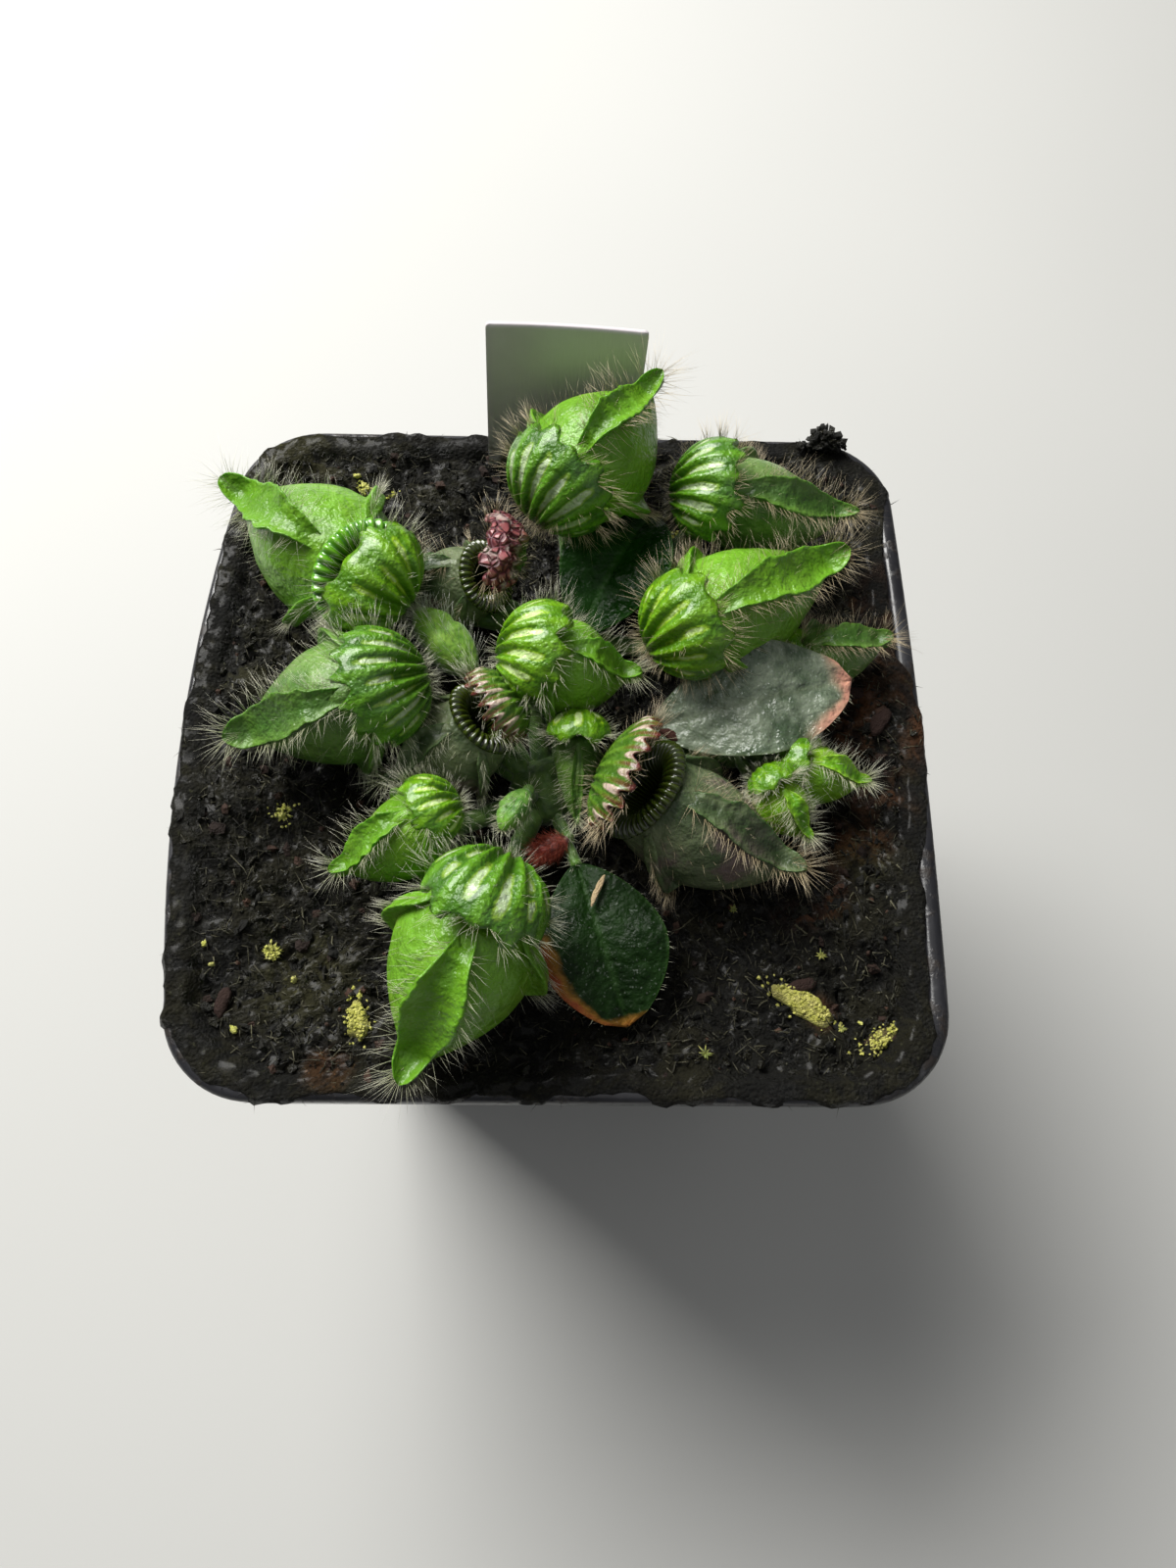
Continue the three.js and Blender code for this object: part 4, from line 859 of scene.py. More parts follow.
def keelLine(p, v):
    # where the front keel stands: on the skin, then straight on past the tip, with its width and height
    v = np.asarray(v, float)
    at = axisAt(p, np.minimum(v, 1))
    tipWay = axisAt(p, 1.0)["down"]
    foot = pouchSkin(p, np.minimum(v, keel["leaves"]), 0.0)
    foot = foot + tipWay * (np.maximum(v - keel["leaves"], 0) * (p["width"] + 0.4 * at["length"]))[..., None]
    swell = np.sin(np.pi * (0.06 + 0.72 * v)) ** 0.8
    roundEnd = np.sqrt(np.clip(1 - np.clip((v - 0.985) / 0.1, 0, 1) ** 2, 0, 1))
    pointEnd = 1 - 0.92 * blendStep(0.62, keel["end"], v)
    taper = p["blunt"] * roundEnd + (1 - p["blunt"]) * pointEnd * np.sqrt(np.maximum(roundEnd, 0))
    half = p["width"] * keel["share"] * p["keelWide"] * swell * np.maximum(taper, 0.04)
    height = p["width"] * (0.035 + 0.085 * np.minimum(v, 1))
    return {"foot": foot, "side": at["side"], "front": at["front"], "down": at["down"], "half": half,
            "height": height, "rise": p["edgeRise"] * np.maximum(taper, 0.05)}


def frontKeel(p, seed):
    # a stem with a hollowed double flange: a polygon of side and height carried down the pouch's front
    v = np.linspace(0.02, keel["end"], keel["fine" if p["width"] > fineFrom else "small"])
    line = keelLine(p, v)
    wave = np.stack([rough(np.stack([v * 9, v * 0 + k, v * 0], -1), 1.0, 2, seed + 7) for k in (3.3, 8.7)],
                    -1)
    half = line["half"][:, None] * (1 + keel["wave"] * wave)
    rise = line["rise"][:, None] * (1 + 0.25 * wave[:, ::-1])
    high = line["height"]
    stem = 0.4 * np.minimum(1, line["half"])
    outline = []
    for hand in (0, 1):
        # from the root up the stem, out under the flange, round its edge and into the hollowed middle, as
        # side, height, crest and the share of painted shade that darkens that middle
        a, e, way = half[:, hand], rise[:, hand], 2 * hand - 1
        section = [(stem * 2.0, -1.0 + 0 * v, 0, 0), (stem * 1.3, 0 * v, 0, 0), (stem, high - 0.95, 0, 0),
                   (0.45 * a, high - 0.62, 0, 0), (0.9 * a, high - 0.25 + 0.35 * e, 0.5, 0),
                   (1.04 * a, high + 0.15 + 0.7 * e, 1, 0), (0.95 * a, high + 0.1 + e, 1, 0),
                   (0.74 * a, high + 0.6 * e, 0.3, 0.2), (0.42 * a, high + 0.16 * e, 0, 0.8)]
        rows = [np.stack([way * s, f, c + 0 * v, t + 0 * v], -1) for s, f, c, t in section]
        outline.append(rows if hand == 0 else rows[::-1])
    middle = [np.stack([0 * v, high - 0.04, 0 * v, 1 + 0 * v], -1)]
    section = np.stack(outline[0] + middle + outline[1], 1)
    section[..., 1] = (section[..., 1] + 1.0) * (0.35 + 0.65 * blendStep(0.0, 0.16, v)[:, None]) - 1.0
    section = roundOff(section)
    points = line["foot"][:, None] + line["side"][:, None] * section[..., 0:1] \
        + line["front"][:, None] * section[..., 1:2]
    bumps = 0.2 * rough(points, 1.5, 3, seed + 3) + 0.09 * rough(points, 0.6, 2, seed + 4)
    points = points + bumps[..., None] * line["front"][:, None] * blendStep(-0.4, 0.4, section[..., 1:2])
    # crest tints the flange edges; the last column sets the painted shade in the hollowed middle
    return closedShell(points, crest=section[..., 2], trough=section[..., 3])


# the side keels: where along the pouch they end, their angle from its front and how that grows in
# degrees, how deep they are sunk, their width as a share, and their cross section as half width, height
# and crest
fin = {"end": 0.4, "top": 62, "turn": 44, "sunk": 0.7, "wide": 0.055, "stations": 34,
       "section": ((-0.62, 0, 0), (-0.42, 0.5, 0), (-0.9, 0.8, 0.6), (-0.8, 1.0, 0.8), (0, 0.94, 0.3),
                   (0.8, 1.0, 0.8), (0.9, 0.8, 0.6), (0.42, 0.5, 0), (0.62, 0, 0))}


def finLine(p, v, hand):
    # the line of a side keel: its root on the skin, the way out from it, and its height above the skin
    share = v / fin["end"]
    angle = hand * np.radians(fin["top"] + fin["turn"] * share)
    root = pouchSkin(p, v, angle, -fin["sunk"])
    outwards = unit(pouchSkin(p, v, angle, 1.0) - root)
    down = axisAt(p, v)["down"]
    across = unit(np.cross(down, outwards))
    high = p["width"] * (0.04 + 0.09 * np.minimum(share, 1)) * blendStep(0.47, 0.39, v) ** 0.7
    return root, outwards, across, down, high


def sideKeel(p, hand):
    # a strap with rolled edges, carried from beside the mouth to a small point at the belly
    v = np.linspace(0.02, 0.47, fin["stations"])
    root, outwards, across, _, high = finLine(p, v, hand)
    crest = high + fin["sunk"]
    wide = 0.6 + p["width"] * fin["wide"] * blendStep(0.0, 0.14, v) * blendStep(0.47, 0.34, v)
    section = np.stack([np.stack([s * wide, f * crest, c + 0 * v], -1) for s, f, c in fin["section"]], 1)
    section = roundOff(section)
    points = root[:, None] + across[:, None] * section[..., 0:1] + outwards[:, None] * section[..., 1:2]
    return closedShell(points, crest=section[..., 2] * 0.7)


# the lid: its rise, notch and rib depth as shares of its half width, the ribs' spread about the hinge in
# degrees, its height over a closed and an open mouth, and its grids
lidShape = {"rise": 0.74, "notch": 0.06, "rib": 0.066, "spread": 138, "thickness": 0.55, "play": 0.3,
            "ringSeat": 1.9, "fine": (112, 22), "small": (48, 18), "frilled": (156, 22)}


def lidFrame(p):
    # hinged at the back of the mouth and swung open about the pouch's side
    at = axisAt(p, 0.0)
    angle = np.radians(p["lidOpen"])
    high = -at["down"]
    wide = p["width"] * p["gape"]
    hinge = at["centre"] + high * (lidShape["ringSeat"] if p["teeth"] else lidShape["play"]) \
        - at["front"] * wide * pouch["back"]
    forward = at["front"] * np.cos(angle) + high * np.sin(angle)
    above = high * np.cos(angle) - at["front"] * np.sin(angle)
    half = wide * p["lidSize"] / 2
    reach = wide * (pouch["front"] + pouch["back"]) * p["lidSize"] / 2 * p["lidReach"]
    hinge = hinge + np.array(p["lidShift"])
    return {"hinge": hinge, "middle": hinge + forward * reach * 0.94, "forward": forward, "above": above,
            "side": at["side"], "half": half, "reach": reach}


def ribWave(p, fan):
    # 1 on a rib and -1 in a valley: a cosine over the fan of lines, which runs from -1 to 1
    return np.cos(np.pi * p["ribs"] * (fan + 1))


def lidSkin(p, fan, run, inset=0.0, relief=0.0):
    # lines fan out from the hinge over a dome to a lobed edge that is notched at its middle
    lid = lidFrame(p)
    angle = np.radians(lidShape["spread"]) * fan
    lobe = ribWave(p, fan)
    notch = lidShape["notch"] * np.exp(-(angle / 0.24) ** 2)
    edge = 1 + 0.5 * p["lobes"] * lidShape["rib"] * lobe - notch
    share = 0.3 * run + 0.35 * (1 - np.cos(np.pi * run))
    x = 0.26 * fan * (1 - share) + edge * np.sin(angle) * share
    y = -0.965 * (1 - share) + edge * np.cos(angle) * share
    dome = np.sqrt(np.maximum(1 - x * x - y * y, 0))
    sharper = 0.02 * blendStep(0.2, 1, lobe) - 0.045 * blendStep(-0.1, -1, lobe)
    ribbed = 1 + p["ribDepth"] * (lidShape["rib"] * lobe + sharper) * np.sin(np.pi * np.clip(run, 0, 1)) \
        + relief
    rise = lidShape["rise"] * p["dome"] * dome * ribbed
    shrink = 1 - inset / lid["half"]
    low = 1 - inset * 1.2 / lid["half"]
    return lid["middle"] + lid["side"] * (lid["half"] * x * shrink)[..., None] \
        + lid["forward"] * (lid["reach"] * y * shrink)[..., None] \
        + lid["above"] * (lid["half"] * rise * low)[..., None]


def paneField(p, fan, run, rng):
    # positive inside a clear pane: long ovals in the valleys between ribs, some of them broken in two
    frilled = p["lid"] == "frilled"
    ribs = p["ribs"]
    valley = np.clip(np.floor((fan + 1) / 2 * ribs), 0, ribs - 1).astype(int)
    start = (0.14 + 0.26 * rng.random(ribs))[valley] + (0.44 if frilled else 0)
    end = (0.84 + 0.12 * rng.random(ribs))[valley] + (0.18 if frilled else 0)
    gap = (0.45 + 0.3 * rng.random(ribs))[valley]
    broken = (rng.random(ribs) < (0 if frilled else 0.35))[valley]
    narrow = p["panes"] + (0.3 * rng.random(ribs) - 0.1)[valley]
    share = np.clip((run - start) / (end - start), 0, 1)
    swell = np.sin(np.pi * share ** 1.35) ** 0.55
    body = -ribWave(p, fan) * (0.35 + 0.65 * swell) - narrow - 0.9 * (1 - swell)
    split = np.where(broken, (np.abs(run - gap) - 0.045) * 12, 1)
    return np.clip(np.minimum(body, split), -1, 1)


def lidBit(p, seed):
    # the dome's grid above a smaller copy of itself; a frilled lid turns its valleys up at a red rim
    rng = np.random.default_rng(seed)
    frilled = p["lid"] == "frilled"
    rows, columns = lidShape["frilled" if frilled else "fine" if p["width"] > fineFrom else "small"]
    fan = np.linspace(-1, 1, rows)[:, None] * np.ones(columns)
    run = np.linspace(0, 1, columns)[None, :] * np.ones((rows, 1))
    field = paneField(p, fan, run, rng)
    lobe = ribWave(p, fan)
    relief = 0.035 * blendStep(0.0, 0.5, field)
    plain = lidSkin(p, fan, run)
    if p["lid"] == "withered":
        relief = relief + 0.22 * rough(plain, 1.5, 3, seed)
    else:
        relief = relief + 0.03 * rough(plain, 1.6, 2, seed) + 0.014 * rough(plain, 0.7, 2, seed + 1)
    top = lidSkin(p, fan, run, 0.0, relief)
    bottom = lidSkin(p, fan, run, lidShape["thickness"], relief)
    red = 0 * run
    if frilled:
        flare = (blendStep(0.66, 1, run) * (0.26 - 0.2 * lobe))[..., None] * lidFrame(p)["above"]
        top, bottom = top + flare, bottom + flare
        red = 0.8 * blendStep(0.66, 0.86, run) * blendStep(0.45, 0.95, lobe) + blendStep(0.93, 0.99, run)
    bit = closedSheet(top, bottom, pane=field, ridge=blendStep(0, 0.9, lobe), rimRed=np.clip(red, 0, 1),
                      fresh=blendStep(0.6, 0.3, run))
    half = len(bit["points"]) // 2
    bit["marks"]["inside"] = np.concatenate([np.zeros(half), np.full(half, 0.7)])
    bit["marks"]["pane"][half:] = -1
    return bit


# the mouth ring's section as way out and way up, then how far a rib moves each; the ribs to a tooth, the
# ribs' height and the grooves' depth, and the cuts to a rib
ring = {"section": ((-0.75, 0.35, 0, 0), (0.9, 0.35, 0, 0), (1.05, 0.95, 1, 0.6), (0.55, 1.5, 1, 1),
                    (-0.3, 1.62, 0.6, 1), (-1.2, 1.05, -1, 1), (-1.7, -0.2, -1, 0.4),
                    (-1.75, -1.1, -1.6, -1.4), (-1.2, -0.4, 0, 0)),
        "ridge": 0.16, "groove": 0.36, "ribs": 2, "steps": 6}


def mouthRing(p):
    # a rolled lip with rounded ribs, two to each tooth of the solid, that swell with a cosine
    ribs = p["teeth"] * ring["ribs"]
    count = ribs * ring["steps"]
    angle = 2 * np.pi * np.arange(count) / count
    crest = (0.5 + 0.5 * np.cos(ribs * angle)) ** 0.6
    ridge = (ring["ridge"] - ring["groove"] * (1 - crest))[:, None]
    section = roundOff(roundOff(np.array([ring["section"]], float)))[0]
    reach = (section[:, 0] + section[:, 2] * ridge) * p["ringSize"]
    lift = (section[:, 1] + section[:, 3] * ridge) * p["ringSize"]
    at = axisAt(p, 0.0)
    wide = p["width"] / 2 * p["gape"] - pouch["wall"] / 2
    share = np.where(np.cos(angle) > 0, pouch["front"], pouch["back"])
    depth = (p["width"] * share * p["gape"] - pouch["wall"] / 2)[:, None]
    points = at["centre"] + at["side"] * ((wide + reach) * np.sin(angle)[:, None])[..., None] \
        + at["front"] * ((depth + reach) * np.cos(angle)[:, None])[..., None] - at["down"] * lift[..., None]
    # the crest share is 0 in the grooves, where the ring's material paints shade
    return closedLoop(points, crest=crest[:, None] * np.ones(len(section)))


# hairs: roots, ways and lengths, gathered for each piece

# radius on pitchers and elsewhere in millimetres, size against the lengths below, and how many there are:
# to a millimetre of the front keel, at its tip, along a side keel and at its end, on the lid's rim, ribs
# and hinge, on the skin, on each leaf and on each stalk
hairs = {"radius": 0.022, "thick": 0.024, "curl": 0.12, "size": 1.42, "keel": 3.1, "tip": 36, "fin": 30,
         "finEnd": 22, "rim": 130, "ribs": 110, "hinge": 40, "skin": 110, "leaf": 90, "stalk": 60}


def hairList(size=1.0):
    # an empty list, and the size that its hairs' lengths are multiplied by
    return {"size": size, "roots": [], "ways": [], "lengths": []}


def scatter(rng, count, spread):
    # vectors of normal draws times the spread
    return rng.normal(size=(count, 3)) * spread


def addHairs(store, rng, roots, ways, spread, low, high):
    # hairs that lean each its own way by the spread, between two lengths
    count = len(roots)
    store["roots"].append(roots)
    store["ways"].append(unit(ways + scatter(rng, count, spread)))
    store["lengths"].append(rng.uniform(low * store["size"], high * store["size"], count))


def either(rng, reach, count):
    # numbers between -reach and reach, to multiply vectors by
    return rng.uniform(-reach, reach, (count, 1))


def keelHairs(p, rng, store, many):
    # fringes along both edges of the front keel, and a tuft at its tip
    count = int(axisAt(p, 0.0)["length"] * hairs["keel"] * p["hairy"])
    for way in (-1, 1):
        line = keelLine(p, rng.uniform(0.06, 1.06, count))
        root = line["foot"] + line["side"] * (way * line["half"])[:, None] \
            + line["front"] * (line["height"] + 0.6 * line["rise"])[:, None]
        lean = line["side"] * way + line["front"] * either(rng, 0.8, count) \
            + line["down"] * rng.uniform(0, 0.8, (count, 1))
        addHairs(store, rng, root, lean, 0.2, 1.5, 3.3)
    count = int(hairs["tip"] * many)
    line = keelLine(p, rng.uniform(0.97, keel["end"], count))
    way = rng.uniform(-1, 1, count)
    root = line["foot"] + line["side"] * (way * line["half"])[:, None] \
        + line["front"] * line["height"][:, None]
    lean = line["down"] * 0.9 + line["side"] * (way * 1.1)[:, None] + line["front"] * either(rng, 0.6, count)
    addHairs(store, rng, root, lean, 0.24, 2.0, 4.2)


def finHairs(p, rng, store, many):
    # a fringe along each side keel, and longer hairs at its end
    for hand in (-1, 1):
        for kind, first, last, low, high in (("fin", 0.05, 0.42, 1.2, 2.2), ("finEnd", 0.41, 0.45, 1.8, 3.0)):
            count = int(hairs[kind] * many)
            root, outwards, across, down, rise = finLine(p, rng.uniform(first, last, count), hand)
            root = root + outwards * (rise + fin["sunk"] * 0.8)[:, None]
            lean = outwards + down * 0.35 + across * either(rng, 0.5, count)
            addHairs(store, rng, root, lean, 0.18, low, high)


def lidHairs(p, rng, store, many):
    # hairs out from the lid's rim, in rows on its ribs, and back from its hinge
    lid = lidFrame(p)
    count = int(hairs["rim"] * many)
    root = lidSkin(p, rng.uniform(-1, 1, count), np.full(count, 0.985), 0.2)
    lean = unit(root - lid["middle"]) + lid["above"] * either(rng, 0.35, count)
    addHairs(store, rng, root, lean, 0.22, 1.4, 3.1)
    count = int(hairs["ribs"] * many)
    fan = rng.integers(0, p["ribs"] + 1, count) * 2 / p["ribs"] - 1 + rng.normal(size=count) * 0.025
    root = lidSkin(p, np.clip(fan, -1, 1), rng.uniform(0.06, 0.97, count), 0.05)
    lean = unit(root - lid["middle"] + lid["above"] * lid["half"] * 0.2) + unit(root - lid["hinge"]) * 0.7
    addHairs(store, rng, root, lean, 0.22, 0.8, 1.8)
    count = int(hairs["hinge"] * many)
    root = lidSkin(p, rng.uniform(-0.9, 0.9, count), rng.uniform(0.0, 0.08, count), 0.1)
    lean = lid["above"] * 0.6 - lid["forward"] + lid["side"] * either(rng, 0.8, count)
    addHairs(store, rng, root, lean, 0.3, 1.2, 2.6)


def skinHairs(p, rng, store, many):
    # hairs all over the pouch, that lean towards its tip
    count = int(hairs["skin"] * many)
    v, angle = rng.uniform(0.03, 0.97, count), rng.uniform(-np.pi, np.pi, count)
    root = pouchSkin(p, v, angle, -0.05)
    lean = unit(pouchSkin(p, v, angle, 1.0) - root) + axisAt(p, v)["down"] * 0.7
    addHairs(store, rng, root, lean, 0.2, 0.7, 1.9)


def pitcherHairs(p, rng):
    # fewer and shorter hairs on a smaller pitcher
    store = hairList(hairs["size"] * min(1.0, 0.45 + p["width"] / 28))
    many = 1.35 * p["hairy"] * (0.35 + p["width"] / 22)
    keelHairs(p, rng, store, many)
    if p["width"] > fineFrom:
        finHairs(p, rng, store, many)
    lidHairs(p, rng, store, many)
    skinHairs(p, rng, store, many)
    return store


def hairPiece(name, store, rng, material, radius):
    # all the hairs of a list as one piece of curled cones, each 0.7 to 1.2 times the radius
    roots, ways, lengths = (np.concatenate(store[key]) for key in ("roots", "ways", "lengths"))
    width = radius * rng.uniform(0.7, 1.2, len(roots))
    return makePiece(name, [cones(roots, ways, lengths, width, hairs["curl"], rng)], material)


# flat leaves, buds and the rhizome with its stalks

# flat leaves: ends, width and arch in millimetres, fold and tilt in degrees, and the depths of the
# edge's waves, the groove, the veins and the leathery dents
leaves = {
    "grey": {"foot": (10.6, -2, 99.6), "tip": (34.9, 4, 101.4), "width": 13.6, "rise": 2.8, "fold": 6,
             "tilt": 12, "wave": 0.5, "groove": 0.22, "veins": 0.0, "leather": 0.2,
             "head": "east", "slot": "leaf_grey", "seed": 41},
    "dark": {"foot": (2.2, 12, 97), "tip": (11.2, 28.8, 99.6), "width": 14.4, "rise": 2.2, "fold": 10,
             "tilt": -8, "wave": 0.3, "groove": 0.3, "veins": 0.02, "leather": 0.06,
             "head": "rear", "slot": "leaf_dark", "seed": 42},
    "front": {"foot": (1.9, -18.2, 96.6), "tip": (7.8, -36.6, 95), "width": 14.6, "rise": 1.6, "fold": 8,
              "tilt": 0, "wave": 0.3, "groove": 0.35, "veins": 0.02, "leather": 0.09,
              "head": "main", "slot": "leaf_dark", "seed": 43},
}
leafGrid = {"rows": 66, "columns": 35}


def leafPoint(leaf, v, u, lift):
    # a pointed oval, arched along its length, folded about the midrib and waved along its edges
    foot, tip = np.array(leaf["foot"], float), np.array(leaf["tip"], float)
    along = unit(tip - foot)
    across = turned(unit(np.cross(along, up)), along, leaf["tilt"])
    normal = np.cross(across, along)
    oval = np.sin(np.pi * np.clip(v, 0, 1) ** 1.12) ** 0.72
    half = leaf["width"] / 2 * (0.1 + 0.9 * oval) * np.sqrt(np.clip((1.004 - v) / 0.05, 0.02, 1))
    wave = leaf["wave"] * np.abs(u) * np.sin(4.5 * np.pi * v + np.where(u > 0, 1.5, 0))
    fold = half * np.abs(u) * np.tan(np.radians(leaf["fold"]))
    high = leaf["rise"] * 4 * v * (1 - v) + fold + wave + lift
    return foot + (tip - foot) * v[..., None] + across * (half * u)[..., None] + normal * high[..., None]


def leafBit(name, leaf):
    # top and bottom sheets, thick at the midrib and thin at the edge, with a groove and raised veins
    rows, columns = leafGrid["rows"], leafGrid["columns"]
    v = np.linspace(0, 1, rows)[:, None] * np.ones(columns)
    u = np.sin(np.linspace(-1, 1, columns) * np.pi / 2)[None, :] * np.ones((rows, 1))
    thick = 0.42 * (1 - 0.6 * np.abs(u) ** 3)
    groove = -leaf["groove"] * np.exp(-(u / 0.09) ** 2) * (1 - 0.6 * v)
    veins = leaf["veins"] * np.sin(26 * v - 9 * np.abs(u)) * blendStep(0.05, 0.3, np.abs(u))
    flat = leafPoint(leaf, v, u, 0 * v)
    dents = 0.16 * rough(flat, 3.4, 3, leaf["seed"]) + leaf["leather"] * rough(flat, 1.3, 3, leaf["seed"] + 3)
    top = leafPoint(leaf, v, u, thick + groove + veins + dents)
    bottom = leafPoint(leaf, v, u, -thick + 0.6 * groove + dents)
    wander = 0.12 * rough(flat, 3.5, 2, leaf["seed"] + 5)
    if name == "front":
        blush = blendStep(0.70, 1.0, u + wander) * blendStep(0.3, 0.5, v) \
            + blendStep(0.93, 1.0, v + wander * 0.3)
    elif name == "grey":
        blush = 0.85 * blendStep(0.85, 0.98, v + wander * 0.3) \
            + 0.95 * blendStep(0.42, 0.95, u + wander) * blendStep(0.52, 0.82, v)
    else:
        blush = 0.15 * blendStep(0.9, 1.0, v)
    blush = np.clip(blush, 0, 1)
    edge = 0.4 * blendStep(0.93, 1.0, np.abs(u)) + 0.25 * np.exp(-(u / 0.05) ** 2)
    return closedSheet(top, bottom, along=v, across=np.abs(u), blush=blush, crest=edge * (1 - blush))


def footToTip(piece):
    # the way from a leaf's or a bud's foot to its tip
    return unit(np.array(piece["tip"]) - np.array(piece["foot"]))


def leafHairs(leaf, rng, store):
    # out from both edges, leaning to the tip
    count = hairs["leaf"]
    v, u = rng.uniform(0.02, 0.99, count), rng.choice([-1.0, 1.0], count)
    root = leafPoint(leaf, v, u * 0.97, 0 * v)
    lean = unit(root - leafPoint(leaf, v, u * 0.5, 0 * v)) + footToTip(leaf) * 0.6
    addHairs(store, rng, root, lean, 0.25, 0.5, 1.2)


# buds: ends, width and longest hair in millimetres
buds = {
    "left": {"foot": (-10.8, 4.8, 99.8), "tip": (-18.2, 12.5, 102.5), "width": 6.0,
             "hairs": 380, "hairLength": 3.4, "hair": "white", "slot": "bud"},
    "front": {"foot": (-3.9, -10.2, 100.6), "tip": (-6.9, -15.4, 101), "width": 3.6,
              "hairs": 260, "hairLength": 1.6, "hair": "pale", "slot": "bud"},
    "red": {"foot": (0.9, -14.8, 96.4), "tip": (-3.1, -17.2, 97.6), "width": 2.3,
            "hairs": 900, "hairLength": 2.2, "hair": "red", "slot": "bud_red"},
}
budGrid = {"rows": 34, "columns": 40}


def budPoint(bud, v, angle, extra=0.0):
    # an egg about a line, with a shallow cleft along one side and a crease under its lid
    foot, tip = np.array(bud["foot"], float), np.array(bud["tip"], float)
    along = unit(tip - foot)
    across = unit(np.cross(along, up))
    normal = np.cross(across, along)
    radius = bud["width"] / 2 * np.sin(np.pi * np.clip(v, 0, 1)) ** 0.6
    cleft = 1 - 0.2 * np.exp(-((angle - 1.2) / 0.35) ** 2) - 0.13 * np.exp(-((v - 0.62) / 0.05) ** 2)
    reach = radius * cleft * (1 + 0.06 * np.cos(3 * angle)) + extra
    return foot + (tip - foot) * v[..., None] + across * (reach * np.cos(angle))[..., None] \
        + normal * (reach * np.sin(angle))[..., None]


def budBit(bud):
    # the egg's grid, closer together at both ends, dented by noise
    rows, columns = budGrid["rows"], budGrid["columns"]
    v = (1 - np.cos(np.linspace(0.02, 0.98, rows) * np.pi))[:, None] / 2 * np.ones(columns)
    angle = np.linspace(-np.pi, np.pi, columns, endpoint=False)[None, :] * np.ones((rows, 1))
    dents = 0.1 * rough(budPoint(bud, v, angle), 1.2, 2, 77)
    return closedShell(budPoint(bud, v, angle, dents), along=v)


def budHairs(bud, rng):
    # out of the skin and towards the tip, closest together near the tip
    count, longest = bud["hairs"], bud["hairLength"]
    store = hairList()
    v, angle = 1 - rng.random(count) ** 1.4 * 0.98, rng.uniform(-np.pi, np.pi, count)
    root = budPoint(bud, v, angle, -0.05)
    lean = unit(budPoint(bud, v, angle, 1.0) - root) * 0.7 \
        + footToTip(bud) * rng.uniform(0.3, 1.3, (count, 1))
    addHairs(store, rng, root, lean, 0.2, 0.5 * longest, longest)
    return store


# the rhizome's heads as middle and radius, then its branches, its root's depth and its stalks
heads = {"main": ((-2, -8, 94.2), 4.2), "rear": ((2.4, 13.2, 93.8), 3.4),
         "east": ((21.5, -1.2, 93.4), 2.8)}
rhizome = {"branch": 1.6, "sunk": 0.5, "depth": 14.0, "stalk": 1.15, "rise": 2.4}


def stalkLine(head, end):
    # three points for a parabola: the head, a low knee at 0.72 of the way, and the end
    start = np.array(heads[head][0], float)
    knee = start + (end - start) * 0.72
    knee[2] = min(start[2] + rhizome["rise"], end[2] - 1)
    return start, knee, end


def onLine(line, t):
    # through the knee at t = ½: start·(1 − t)(1 − 2t) + knee·4t(1 − t) + end·t(2t − 1)
    start, knee, end = line
    t = np.asarray(t, float)[..., None]
    return start * (1 - t) * (1 - 2 * t) + knee * 4 * t * (1 - t) + end * t * (2 * t - 1)


def tube(points, radius, seed, around=14, bumpy=0.08):
    # rings square to a line of points, each radius varied a little by noise
    ways = unit(np.gradient(points, axis=0))
    first, second = sideways(ways)
    angle = np.linspace(0, 2 * np.pi, around, endpoint=False)[:, None]
    spoke = first[:, None] * np.cos(angle) + second[:, None] * np.sin(angle)
    spoke = spoke * np.reshape(radius, (-1, 1, 1))
    swell = 1 + bumpy * rough(points[:, None] + spoke, 1.6, 2, seed)
    return closedShell(points[:, None] + spoke * swell[..., None],
                       along=np.linspace(0, 1, len(points))[:, None])


def stalkEnds():
    # each stalk's head, end and radius: one for each pitcher, leaf and bud
    ends = []
    for p in pitchers.values():
        ends.append((p["head"], pouchSkin(p, 0.2, np.pi, -0.5), min(rhizome["stalk"], p["width"] * 0.13)))
    for piece in (*leaves.values(), *buds.values()):
        ends.append((piece.get("head", "main"), np.array(piece["foot"], float), 0.7))
    return ends


def knob(centre, radius, seed):
    # a low lumpy sphere
    polar = np.linspace(0.08, np.pi - 0.08, 22)[:, None]
    angle = np.linspace(0, 2 * np.pi, 30, endpoint=False)[None, :]
    ball = np.stack([np.sin(polar) * np.cos(angle), np.sin(polar) * np.sin(angle),
                     0.8 * np.cos(polar) * np.ones_like(angle)], -1)
    swell = 1 + 0.14 * rough(ball * radius, 1.7, 3, seed)
    return closedShell(np.array(centre) + ball * radius * swell[..., None], along=0.0)


def rhizomeBits():
    # heads, branches from the main head to the others, the root, and the stalks
    bits = [knob(centre, radius, 60 + i) for i, (centre, radius) in enumerate(heads.values())]
    main, *others = (np.array(centre) - (0, 0, rhizome["sunk"]) for centre, _ in heads.values())
    for i, other in enumerate(others):
        line = main + (other - main) * np.linspace(0, 1, 24)[:, None]
        bits.append(tube(line, np.full(24, rhizome["branch"]), 65 + i))
    drop = np.linspace(0, rhizome["depth"], 20)
    line = main - drop[:, None] * up + 0.3 * np.sin(drop)[:, None] * (1, 0, 0)
    bits.append(tube(line, 2.6 - 0.1 * drop, 68))
    for i, (head, end, radius) in enumerate(stalkEnds()):
        t = np.linspace(0, 1, 22)
        bits.append(tube(onLine(stalkLine(head, end), t), radius * (1.15 - 0.15 * t), 70 + i, bumpy=0.05))
    return bits


